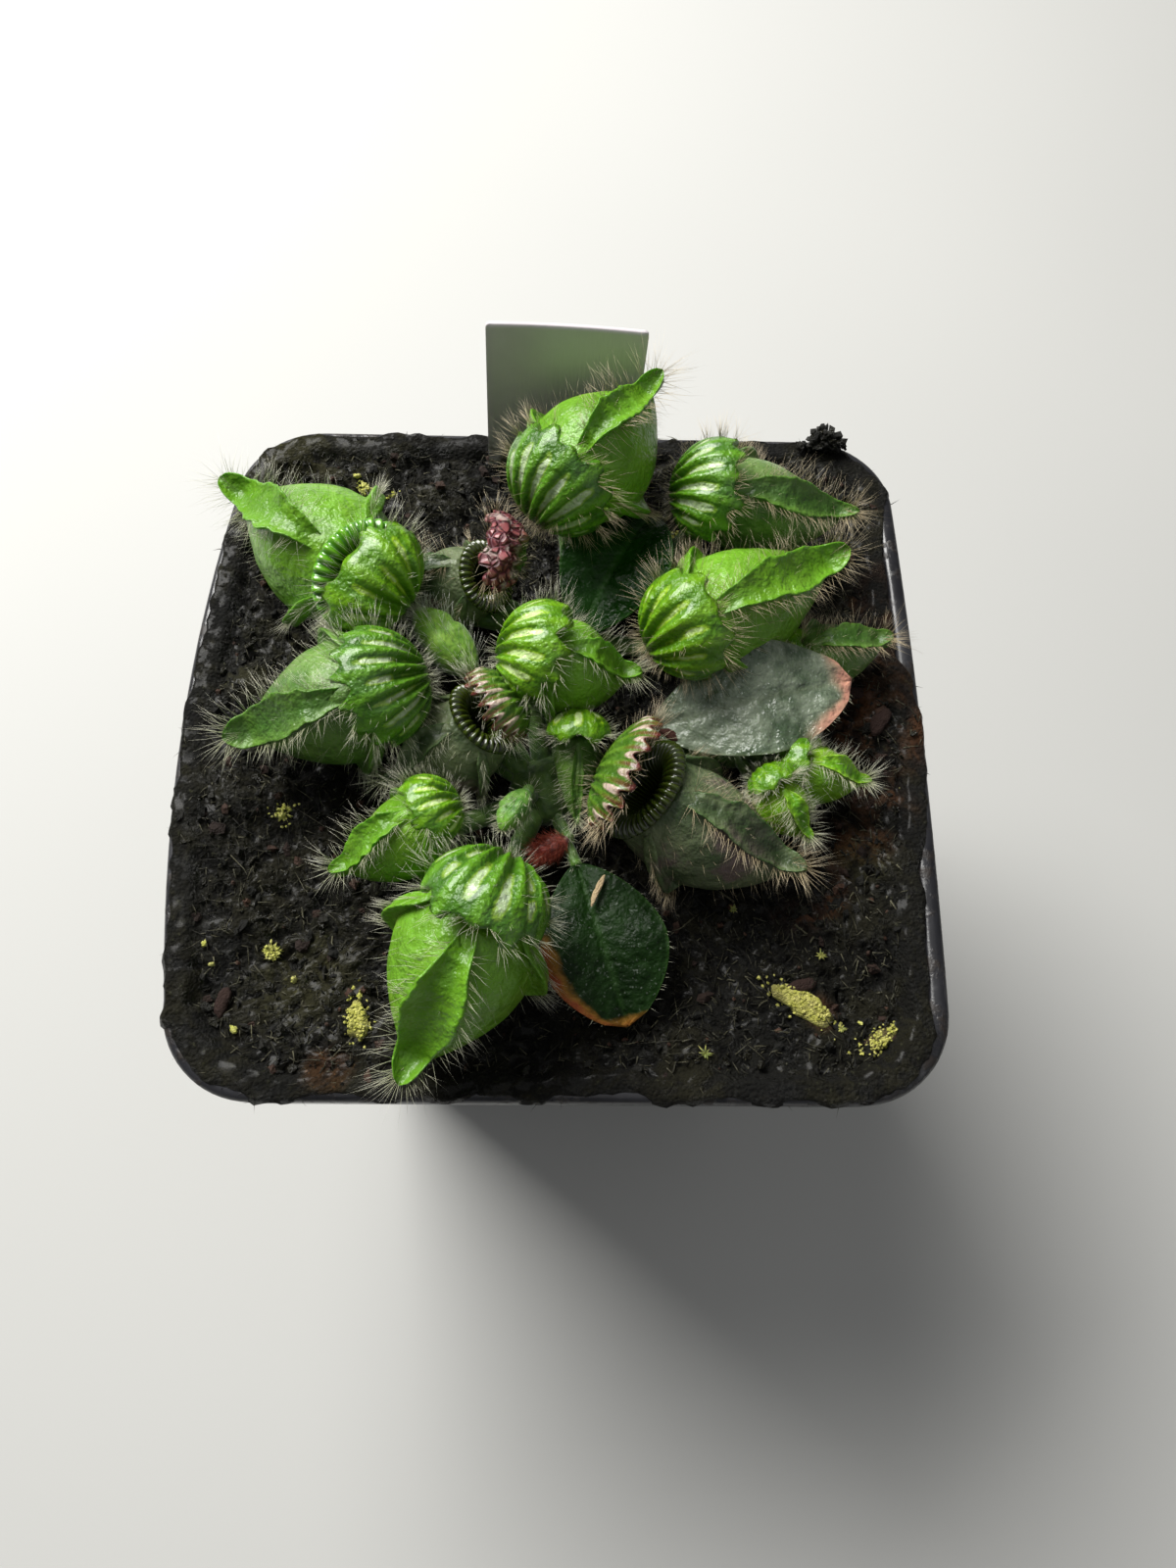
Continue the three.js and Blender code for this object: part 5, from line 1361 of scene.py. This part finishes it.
def stalkHairs(rng, store):
    # all round the outer part of each stalk, more of them above than below
    count = hairs["stalk"]
    for head, end, radius in stalkEnds():
        centre = onLine(stalkLine(head, end), rng.uniform(0.3, 1.0, count))
        around = unit(scatter(rng, count, 1.0) + up * 0.6)
        addHairs(store, rng, centre + around * radius * 0.9, around, 0.2, 1.0, 2.2)


# pot, peat and what lies on it

# rim and base are half widths; the lip is half width against the wall and height over the lip's foot, or
# below the pot's top
pot = {"height": 95.0, "rim": 45.0, "base": 33.5, "wall": 1.0, "lipHeight": 7.0, "overhang": 1.2,
       "lipTop": 1.6, "rimCorner": 11.0, "baseCorner": 8.0, "leftBow": 2.6, "rightBow": 0.6, "floor": 1.4,
       "footBead": ((0, 0.9), (0.15, 0.45), (0.5, 0.12), (1.2, 0.0), (1.6, 0.06), (2.2, 0.06)),
       "lipFoot": ((-0.25, -0.1), (0.2, 0.15), (0.75, 0.6), (0.98, 1.2), (1.05, 2), (1.12, 4)),
       "lipHead": ((1.18, 1.2), (1.12, 0.7), (0.9, 0.3), (0.5, 0.06), (0.0, 0), (-0.5, 0.02),
                   (-0.85, 0.14), (-1.05, 0.4), (-1.15, 1.0)),
       "slots": {"count": 8, "length": 9.0, "width": 3.4, "side": 22.0, "corner": 26.84}}


def potOutline(half, corner, bow, z, straightSteps=34, cornerSteps=16):
    # four straight sides, each bowed by 4·share·(1 − share), and four quarter circles
    share = np.arange(straightSteps) / straightSteps
    angle = np.pi / 2 * np.arange(cornerSteps) / cornerSteps
    flat = half - corner
    x = np.concatenate([np.full(straightSteps, half), flat + corner * np.cos(angle)])
    y = np.concatenate([-flat + 2 * flat * share, flat + corner * np.sin(angle)])
    swell = np.concatenate([4 * share * (1 - share), 0 * angle])
    rows = []
    for c, s, out in ((1, 0, pot["rightBow"]), (0, 1, 0), (-1, 0, -pot["leftBow"]), (0, -1, 0)):
        rows.append(np.stack([x * c - y * s + out * bow * swell, x * s + y * c, z + 0 * x], -1))
    return np.concatenate(rows)


def outlineOnWall(z, inset, **steps):
    # half width, corner and bow grow in proportion to the height
    share = z / pot["height"]
    half = pot["base"] + (pot["rim"] - pot["overhang"] - pot["base"]) * share
    corner = pot["baseCorner"] + (pot["rimCorner"] - pot["baseCorner"]) * share
    return potOutline(half - inset, corner - 0.6 * inset, share, z, **steps)


def potRings():
    # the outer wall with a foot bead, the rolled lip, the inner wall and the floor, as outlines
    top, foot = pot["height"], pot["height"] - pot["lipHeight"]
    rings, rim = [], []

    def add(ring, mark=0.0):
        rings.append(ring)
        rim.append(mark)
    for z, inset in pot["footBead"]:
        add(outlineOnWall(z, inset))
    for z in np.linspace(6, foot - 0.6, 20):
        add(outlineOnWall(z, 0.05 * np.sin(z * 0.4)), 0.15)
    lip = [(out, foot + z) for out, z in pot["lipFoot"]] + [(out, top - z) for out, z in pot["lipHead"]]
    for out, z in lip:
        add(potOutline(pot["rim"] - pot["overhang"] + out, pot["rimCorner"], 1, z), 1.0)
    for z, inset in ((foot + 0.8, 1.2), (foot - 0.5, pot["wall"])):
        add(outlineOnWall(z, inset), 0.6)
    for z in np.linspace(foot - 8, pot["floor"] + 1.2, 10):
        add(outlineOnWall(z, pot["wall"]))
    add(outlineOnWall(pot["floor"], pot["wall"] + 0.6))
    return closedShell(np.stack(rings), rim=np.array(rim)[:, None])


def cutSlots(piece):
    # takes the drain slots out of the floor with one cutter of eight rounded bars
    spec = pot["slots"]
    angle = np.linspace(0, 2 * np.pi, 28, endpoint=False)
    straight, end = (spec["length"] - spec["width"]) / 2, spec["width"] / 2
    barX, barY = straight * np.sign(np.cos(angle)) + end * np.cos(angle), end * np.sin(angle)
    bits = []
    for i in range(spec["count"]):
        turn = 2 * np.pi * i / spec["count"]
        reach = spec["corner"] if i % 2 else spec["side"]
        x, y = spun(barX, barY, turn + np.pi / 2)
        x, y = x + reach * np.cos(turn), y + reach * np.sin(turn)
        bits.append(closedShell(np.stack([np.stack([x, y, z + 0 * x], -1) for z in (-2.0, 4.0)])))
    cutter = plainObject("slotCutter", bits, None)
    cut = piece.modifiers.new("slots", "BOOLEAN")
    cut.operation, cut.solver, cut.object = "DIFFERENCE", "MANIFOLD", cutter
    graph = bpy.context.evaluated_depsgraph_get()
    mesh = bpy.data.meshes.new_from_object(piece.evaluated_get(graph), preserve_all_data_layers=True,
                                           depsgraph=graph)
    piece.modifiers.clear()
    piece.data = mesh
    bpy.data.objects.remove(cutter)


# lengths in millimetres; the zones of colour are x, y and radius; then how many crumbs and fibres lie on it
peat = {"level": 92.3, "bank": 2.1, "margin": 0.7, "lap": 1.3, "lump": 1.3, "rings": 100, "steps": 93,
        "seed": 11, "clump": (35.4, 43.4, 96.0),
        "zones": {"brown": ((41, 2, 9.0), (38, -10, 6.0), (30, -20, 5.0), (43, 20, 5.0)),
                  "moss": ((-33, 34, 13.0), (-36, 10, 7.0), (-30, -31, 7.0), (20, 38, 8.0),
                           (36.8, -16.3, 3.0), (32, 2.5, 3.0)),
                  "rust": ((-25.6, -41.2, 2.8), (30.5, -34.5, 2.0))},
        "darkCrumbs": 3180, "clumpCrumbs": 110, "brownCrumbs": 420, "fibres": 8400, "longFibres": 220}


def peatTop(x, y):
    # slow waves, a mound under the rosette, a sunken front right corner and a bank at the rim
    waves = 0.45 * np.sin(0.13 * x + 1) * np.cos(0.11 * y) + 0.3 * np.sin(0.31 * x + 0.23 * y) \
        + 0.2 * np.cos(0.4 * y - 0.27 * x)
    mound = 0.9 * np.exp(-((x - 2) ** 2 + (y + 2) ** 2) / 500)
    corner = -2.6 * np.exp(-((x - 40) ** 2 + (y + 40) ** 2) / 90)
    reach = np.maximum(np.abs(x), np.abs(y)) / (pot["rim"] - pot["lipTop"] - peat["margin"])
    return peat["level"] + waves + mound + corner + peat["bank"] * blendStep(0.7, 0.98, reach)


def peatLump(x, y):
    # crumbly relief: noise in two sizes, the finer folded to sharp lumps
    at = np.stack([x, y, 0 * x], -1)
    coarse = rough(at, 5.0, 2, peat["seed"])
    fine = 1 - 2 * np.abs(rough(at, 1.5, 4, peat["seed"] + 9))
    return peat["lump"] * (0.5 * coarse + 0.42 * fine - 0.25)


def soilAt(x, y):
    # the soil's height, lumps and all
    return peatTop(x, y) + peatLump(x, y)


def peatOutline(steps):
    # the line that the soil reaches: it laps over the inner half of the rim by an uneven amount
    corners = {"straightSteps": steps, "cornerSteps": steps // 3}
    edge = potOutline(pot["rim"] - pot["lipTop"] + peat["lap"], pot["rimCorner"], 1, 0.0, **corners)
    slim = potOutline(pot["rim"] - pot["lipTop"] - 0.5, pot["rimCorner"], 1, 0.0, **corners)
    bare = blendStep(6, 13, edge[:, 1]) * blendStep(37, 30, edge[:, 1]) \
        + blendStep(-10, -20, edge[:, 1]) * blendStep(-41, -34, edge[:, 1])
    bare = bare * blendStep(36, 40, edge[:, 0])
    edge = edge + (slim - edge) * bare[:, None]
    return edge * (1 + 0.011 * rough(edge, 3.0, 3, 31))[:, None]


def peatBit():
    # the edge outline shrunk ring by ring to the middle, lifted to the lumpy top, over straight walls
    steps = {"straightSteps": peat["steps"], "cornerSteps": peat["steps"] // 3}
    foot = pot["height"] - pot["lipHeight"]
    edge = peatOutline(peat["steps"])
    share = np.linspace(1, 0.004, peat["rings"])[:, None]
    x, y = edge[:, 0] * share, edge[:, 1] * share
    lump = peatLump(x, y)
    over = blendStep(0.92, 0.945, share)
    z = (peatTop(x, y) + lump) * (1 - over) + (pot["height"] + 0.25 + 0.5 * np.maximum(lump, -0.3)) * over \
        - 0.9 * blendStep(0.99, 1.0, share)
    rings = [outlineOnWall(pot["floor"] + 0.3, pot["wall"] + 1.6, **steps),
             outlineOnWall(45.0, pot["wall"] + 1.0, **steps),
             outlineOnWall(foot, pot["wall"] + 0.6, **steps),
             potOutline(pot["rim"] - pot["lipTop"] - 0.5, pot["rimCorner"], 1, pot["height"] - 0.5, **steps)]
    points = np.concatenate([np.stack(rings), np.stack([x, y, z], -1)])
    wander = 0.35 * rough(points, 6.0, 3, 21)
    zones = {}
    for mark, places in peat["zones"].items():
        near = np.stack([np.hypot(points[..., 0] - a, points[..., 1] - b) / r for a, b, r in places])
        zones[mark] = blendStep(1.25, 0.45, near.min(0) + wander)
    # painted shade: the hollow mark rises where the lumps dip
    hollow = np.concatenate([np.zeros((4, points.shape[1])), blendStep(0.0, -0.55, lump)])
    return closedShell(points, hollow=hollow, **zones)


def onPeat(rng, count, highest=0.985):
    # places spread evenly over the peat's top
    edge = peatOutline(peat["steps"])
    pick = edge[rng.integers(0, len(edge), count)]
    share = np.sqrt(rng.uniform(0, highest ** 2, count))
    x = pick[:, 0] * share + rng.normal(size=count) * 0.3
    y = pick[:, 1] * share + rng.normal(size=count) * 0.3
    return np.stack([x, y, soilAt(x, y)], -1)


def rimClump(rng, count):
    # a small heap of crumbs on the rim at the back right
    heap = np.array(peat["clump"]) + scatter(rng, count, 1.0) * (1.15, 0.45, 0.3)
    return heap + np.exp(-((heap[:, :1] - peat["clump"][0]) / 1.5) ** 2) * rng.random((count, 1)) * up * 2.4


def fibreBit(rng, count, low, high, width, highest=0.985):
    # curled threads that lie almost flat; squaring their chance leaves most of them dark
    roots = onPeat(rng, count, highest) + (0, 0, 0.22)
    ways = unit(scatter(rng, count, 1.0) * (1, 1, 0.28))
    lengths = rng.uniform(low, high, count)
    bit = cones(roots, ways, lengths, width * rng.uniform(0.6, 1.4, count), 0.5, rng)
    bit["marks"]["chance"] = bit["marks"]["chance"] ** 2
    return bit


# flakes of perlite: place, size and turn in degrees, and how far the film has worn off
flakes = {
    "long": {"at": (28.2, -33.5), "size": (7.6, 2.8, 1.3), "turn": -30, "bare": 0.25},
    "corner": {"at": (37, -37.6), "size": (5.8, 2.0, 1.3), "turn": 35, "bare": 0.75},
    "side": {"at": (-22.9, -36.1), "size": (2.4, 4.4, 1.5), "turn": 10, "bare": 0.1},
}
filmGrains = 130
chipSide = ((0.6, 0), (0.9, 0.02), (1.0, 0.2), (1.02, 0.45), (0.97, 0.68), (0.86, 0.84), (0.66, 0.95),
            (0.42, 1.0), (0.18, 1.02))


def chip(at, size, turn, bare, seed, z=None):
    # a flat stone: its outline reaches 1 + 0.22·sin(3.3·k) at seven corners, its top is domed and rough
    angle = np.linspace(0, 2 * np.pi, 36, endpoint=False)
    corners = 1 + 0.22 * np.sin(3.3 * np.arange(7))
    reach = np.interp(angle, np.linspace(0, 2 * np.pi, 8), np.append(corners, corners[0]))
    share, level = np.array(chipSide).T[..., None]
    local = np.stack([size[0] / 2 * reach * np.cos(angle) * share,
                      size[1] / 2 * reach * np.sin(angle) * share, size[2] * (level - 0.4) + 0 * angle], -1)
    local = local * (1 + 0.09 * rough(local, 1.1, 3, seed) + 0.12 * rough(local, 0.5, 2, seed + 2))[..., None]
    x, y = spun(local[..., 0], local[..., 1], np.radians(turn))
    x, y = x + at[0], y + at[1]
    base = peatTop(*at) if z is None else z
    worn = np.clip(bare + 0.5 * rough(np.stack([x, y, 0 * x], -1), 1.4, 2, seed + 4), 0, 1)
    return closedShell(np.stack([x, y, local[..., 2] + base], -1), bare=worn)


# tufts and stars are x, y and size, dots are x and y, bark is x, y, length, width and turn in degrees,
# and scraps are place, size and turn
litter = {
    "tufts": ((-34, -10.9, 1.5), (-33.6, -28.1, 1.3), (-28, 36.6, 1.2), (-24.1, 35.9, 1.0),
              (15.2, 30.3, 1.0)),
    "dots": ((-41.2, -27.4), (-36.8, -37.1), (-40.2, -29.7), (-26.9, 39.1), (-13.7, 42.0), (-30.8, -31.3),
             (-22.9, -33.0), (-29.0, 38.2), (35.2, -35.6), (6.8, -33.0)),
    "stars": ((30.9, -27.9, 1.1), (32.6, -36.4, 1.1), (16.6, -39.5, 1.3), (20.7, -22.4, 0.9),
              (42.5, -7.1, 1.0)),
    "bark": ((28.0, -31.6, 4.6, 1.6, 20), (40.0, -38.0, 4.0, 2.0, -35), (40.0, 1.5, 4.2, 2.0, 60),
             (37.5, 6.0, 3.2, 1.6, 10), (-38.5, -34.0, 3.4, 1.5, 80)),
    "scraps": {"straw": ((4.3, -21.6, 98.7), (4.0, 0.7, 0.35), 68),
               "husk": ((12.9, -3.0, 100.6), (2.6, 1.2, 0.8), -25)},
}


def powder(rng, at, size, turn):
    # grains of the film strewn over a flake and a little past its edge
    spot = rng.normal(size=(filmGrains, 2)) * (size[0] / 3.6, size[1] / 3.6)
    x, y = spun(spot[:, 0], spot[:, 1], np.radians(turn))
    x, y = x + at[0], y + at[1]
    reach = np.hypot(spot[:, 0] / size[0], spot[:, 1] / size[1]) * 2
    high = np.where(reach < 0.9, peatTop(*at) + size[2] * 0.56, soilAt(x, y) + 0.1)
    return crumbs(np.stack([x, y, high], -1), rng.uniform(0.2, 0.55, filmGrains), rng)


def tuftBits(rng):
    # little cushions: short blades fanned from a centre, with a few soft grains between them
    roots, ways, grains = [], [], []
    for x, y, size in litter["tufts"]:
        spread = unit(scatter(rng, 46, 1.0) * (1, 1, 0.3) + up * 0.4)
        centre = np.array([x, y, soilAt(x, y)])
        roots.append(centre + spread * (0.35, 0.35, 0.1) * size)
        ways.append(spread * size * 0.55)
        grains.append(centre + scatter(rng, 34, 0.42 * size) * (1, 1, 0.25) + up * 0.25)
    roots, ways, grains = np.concatenate(roots), np.concatenate(ways), np.concatenate(grains)
    lengths = np.linalg.norm(ways, axis=1) * rng.uniform(0.6, 1.1, len(roots))
    dots = np.array([[x, y, soilAt(x, y) + 0.2] for x, y in litter["dots"]])
    return [cones(roots, unit(ways), lengths, 0.16, 0.3, rng, sides=4),
            crumbs(grains, rng.uniform(0.25, 0.5, len(grains)), rng),
            crumbs(dots, rng.uniform(0.6, 1.0, len(dots)), rng, rings=6, around=9)]


def starBits(rng):
    # moss stars: nine pointed leaves round a middle, each a flat cone
    roots, ways, lengths = [], [], []
    for x, y, size in litter["stars"]:
        angle = np.linspace(0, 2 * np.pi, 9, endpoint=False) + rng.random()
        centre = np.array([x, y, soilAt(x, y) + 0.35])
        roots.append(np.repeat(centre[None], 9, 0))
        ways.append(np.stack([np.cos(angle), np.sin(angle), 0.25 + 0.2 * rng.random(9)], -1))
        lengths.append(size * rng.uniform(0.8, 1.1, 9))
    roots, ways, lengths = (np.concatenate(rows) for rows in (roots, ways, lengths))
    return [cones(roots, unit(ways), 0.75 * lengths, 0.17, 0.3, rng, sides=5)]


def barkBits():
    # thin splinters and scraps that lie on the peat
    return [chip((x, y), (length, width, 0.9), turn, 0.0, 90 + i, soilAt(x, y) + 0.3)
            for i, (x, y, length, width, turn) in enumerate(litter["bark"])]


# millimetres and degrees; top and foot are heights over the pot's rim along the strip
label = {"width": 19.8, "thickness": 0.8, "top": 21.8, "foot": -30.0, "x": -0.9, "y": 41.5, "lean": 6.2,
         "turn": -2.5, "point": 7.0, "corner": 0.5, "bow": 0.35}


def labelBit():
    # a strip with a pointed foot and round top corners, bowed a little across, thinner at its edges
    down = np.sin(np.linspace(-1, 1, 44) * np.pi / 2)
    height = (label["top"] + label["foot"]) / 2 + (label["top"] - label["foot"]) / 2 * down
    across = np.sin(np.linspace(-1, 1, 20) * np.pi / 2)
    half = label["width"] / 2 * np.clip((height - label["foot"]) / label["point"] + 0.02, 0, 1)
    over = np.clip(height - (label["top"] - label["corner"]), 0, label["corner"])
    half = half - (label["corner"] - np.sqrt(np.maximum(label["corner"] ** 2 - over ** 2, 0)))
    x = half[:, None] * across
    y = height[:, None] * np.ones(20)
    edge = (label["width"] / 2 - np.abs(x)) / 0.5
    thick = label["thickness"] / 2 * np.sqrt(np.clip(edge, 0.25, 1)) \
        * np.sqrt(np.clip((label["top"] - y) / 0.4 + 0.3, 0.25, 1))
    bow = label["bow"] * (x / label["width"] * 2) ** 2 + 0.2 * np.sin(0.09 * y)

    def placed(z):
        # turned in its own plane, then stood up to lean back
        px, py = spun(x, y, np.radians(label["turn"]))
        py, pz = spun(py, z, np.pi / 2 - np.radians(label["lean"]))
        return np.stack([px + label["x"], py + label["y"], pz + pot["height"]], -1)
    return closedSheet(placed(thick + bow), placed(bow - thick))


# everything put together

print("solids loaded")
bpy.context.scene.view_settings.view_transform = "Standard"
placeCamera()
placeLights()
rng = np.random.default_rng(20)

# dark and light, or for buds deep, bright and tip
tones = {
    "hairs": {"red": ((0.22, 0.022, 0.014), (0.50, 0.110, 0.060)),
              "tan": ((0.40, 0.32, 0.18), (0.74, 0.63, 0.44)),
              "pale": ((0.46, 0.48, 0.28), (0.82, 0.80, 0.66)),
              "white": ((0.55, 0.58, 0.44), (0.88, 0.88, 0.80))},
    # for the rings, the first tone is painted shade for the grooves between ribs
    "rings": {"dark": ((0.008, 0.011, 0.001), (0.040, 0.060, 0.005)),
              "green": ((0.030, 0.150, 0.003), (0.130, 0.360, 0.012))},
    "buds": {"left": ((0.09, 0.24, 0.012), (0.22, 0.40, 0.04), (0.20, 0.40, 0.03)),
             "front": ((0.045, 0.16, 0.010), (0.13, 0.29, 0.025), (0.14, 0.32, 0.02)),
             "red": ((0.09, 0.016, 0.010), (0.20, 0.035, 0.020), (0.24, 0.026, 0.018)),
             "rhizome": ((0.030, 0.080, 0.010), (0.090, 0.170, 0.025), (0.080, 0.180, 0.020)),
             "moss": ((0.12, 0.16, 0.02), (0.30, 0.30, 0.05), (0.36, 0.34, 0.08))},
    "grains": {"dark": ((0.002, 0.002, 0.0010), (0.013, 0.012, 0.007)),
               "brown": ((0.012, 0.006, 0.004), (0.060, 0.028, 0.016)),
               "fibre": ((0.004, 0.004, 0.002), (0.115, 0.108, 0.066)),
               "bark": ((0.020, 0.008, 0.005), (0.050, 0.020, 0.012)),
               "straw": ((0.40, 0.30, 0.17), (0.66, 0.54, 0.36)),
               "husk": ((0.050, 0.016, 0.010), (0.130, 0.045, 0.028))},
    "films": {"crust": ((0.80, 0.76, 0.22), (0.56, 0.56, 0.09), (0.045, 0.020, 0.012)),
              "tufts": ((0.84, 0.82, 0.26), (0.60, 0.62, 0.10), (0.2, 0.2, 0.03))},
}

skinOf = {name: pouchMaterial(name) for name in skins}
lidOf = {name: lidMaterial(name) for name in lidLooks}
lidOf["withered"] = witheredMaterial()
hairOf = {name: hairMaterial("hair_" + name, *pair) for name, pair in tones["hairs"].items()}
ringOf = {name: ringMaterial("ring_" + name, *pair) for name, pair in tones["rings"].items()}

for seed, (name, p) in enumerate(pitchers.items()):
    bits = [pouchBody(p, 100 + seed), frontKeel(p, 130 + seed)]
    if p["width"] > fineFrom:
        bits += [sideKeel(p, 1), sideKeel(p, -1)]
    makePiece("skin_" + name, bits, skinOf[p["skin"]], ("pouch_" + name,))
    makePiece("dome_" + name, [lidBit(p, 160 + seed)], lidOf[p["lid"]],
              ("lid_" + name,))
    if p["teeth"]:
        makePiece("lip_" + name, [mouthRing(p)], ringOf[p["ring"]], ("mouth_" + name,))
    hairPiece("hairs_" + name, pitcherHairs(p, rng), rng, hairOf[p["hair"]], hairs["radius"])
print("pitchers made")

for name, leaf in leaves.items():
    makePiece("blade_" + name, [leafBit(name, leaf)], leafMaterial(name), ("leaf_" + name,))
for name, bud in buds.items():
    makePiece("egg_" + name, [budBit(bud)], budMaterial("bud_" + name, *tones["buds"][name]),
              ("bud_" + name,))
    hairPiece("hairs_bud_" + name, budHairs(bud, rng), rng, hairOf[bud["hair"]], hairs["thick"])
makePiece("stem", rhizomeBits(), budMaterial("rhizomeSkin", *tones["buds"]["rhizome"]),
          ("rhizome",))
store = hairList()
stalkHairs(rng, store)
for leaf in leaves.values():
    leafHairs(leaf, rng, store)
hairPiece("hairs_stalks", store, rng, hairOf["pale"], hairs["thick"])
print("leaves, buds and stem made")

cutSlots(makePiece("shell", [potRings()], potMaterial(), ("pot",)))
makePiece("soil", [peatBit()], peatMaterial(), ("peat",))
count = peat["darkCrumbs"]
loose = crumbs(onPeat(rng, count), 0.4 + 1.25 * rng.random(count) ** 3, rng, flat=0.55, uneven=0.5)
count = peat["clumpCrumbs"]
clump = crumbs(rimClump(rng, count), 0.6 + 0.9 * rng.random(count), rng, uneven=0.5)
makePiece("crumbs_dark", [loose, clump], crumbMaterial("crumbDark", *tones["grains"]["dark"], 0.14),
          flat=True)
count = peat["brownCrumbs"]
loose = crumbs(onPeat(rng, count), 0.5 + 1.3 * rng.random(count) ** 2, rng)
makePiece("crumbs_brown", [loose], crumbMaterial("crumbBrown", *tones["grains"]["brown"], 0.5),
          flat=True)
makePiece("fibres", [fibreBit(rng, peat["fibres"], 0.7, 2.3, 0.095),
                     fibreBit(rng, peat["longFibres"], 2.5, 6.0, 0.12, 0.88)],
          crumbMaterial("fibreOlive", *tones["grains"]["fibre"], 0.35))
makePiece("bark", barkBits(), crumbMaterial("barkBrown", *tones["grains"]["bark"], 0.5))
scrapOf = {"straw": crumbMaterial("strawDry", *tones["grains"]["straw"], 0.6),
           "husk": crumbMaterial("huskBrown", *tones["grains"]["husk"], 0.6)}
for name, (at, size, turn) in litter["scraps"].items():
    makePiece("scrap_" + name, [chip(at[:2], size, turn, 0.0, 240, at[2])], scrapOf[name])
crust = crustMaterial("limeCrust", *tones["films"]["crust"])
for seed, (name, flake) in enumerate(flakes.items()):
    at, size, turn, bare = flake.values()
    bits = [chip(at, size, turn, bare, 200 + seed), powder(rng, at, size, turn)]
    makePiece("flake_piece_" + name, bits, crust, ("flake_" + name,))
makePiece("tufts", tuftBits(rng), crustMaterial("limeFilm", *tones["films"]["tufts"]))
makePiece("stars", starBits(rng), budMaterial("starMoss", *tones["buds"]["moss"]))
makePiece("strip", [labelBit()], labelMaterial(), ("label",))
print("pot, peat, litter and label made")

line = np.linspace(-900, 900, 13)
flat = np.stack(np.meshgrid(line, line, indexing="ij"), -1)
top, bottom = (np.dstack([flat, np.full((13, 13), z)]) for z in (0.0, -12.0))
table = plainObject("table", [closedSheet(top, bottom)], floorMaterial())
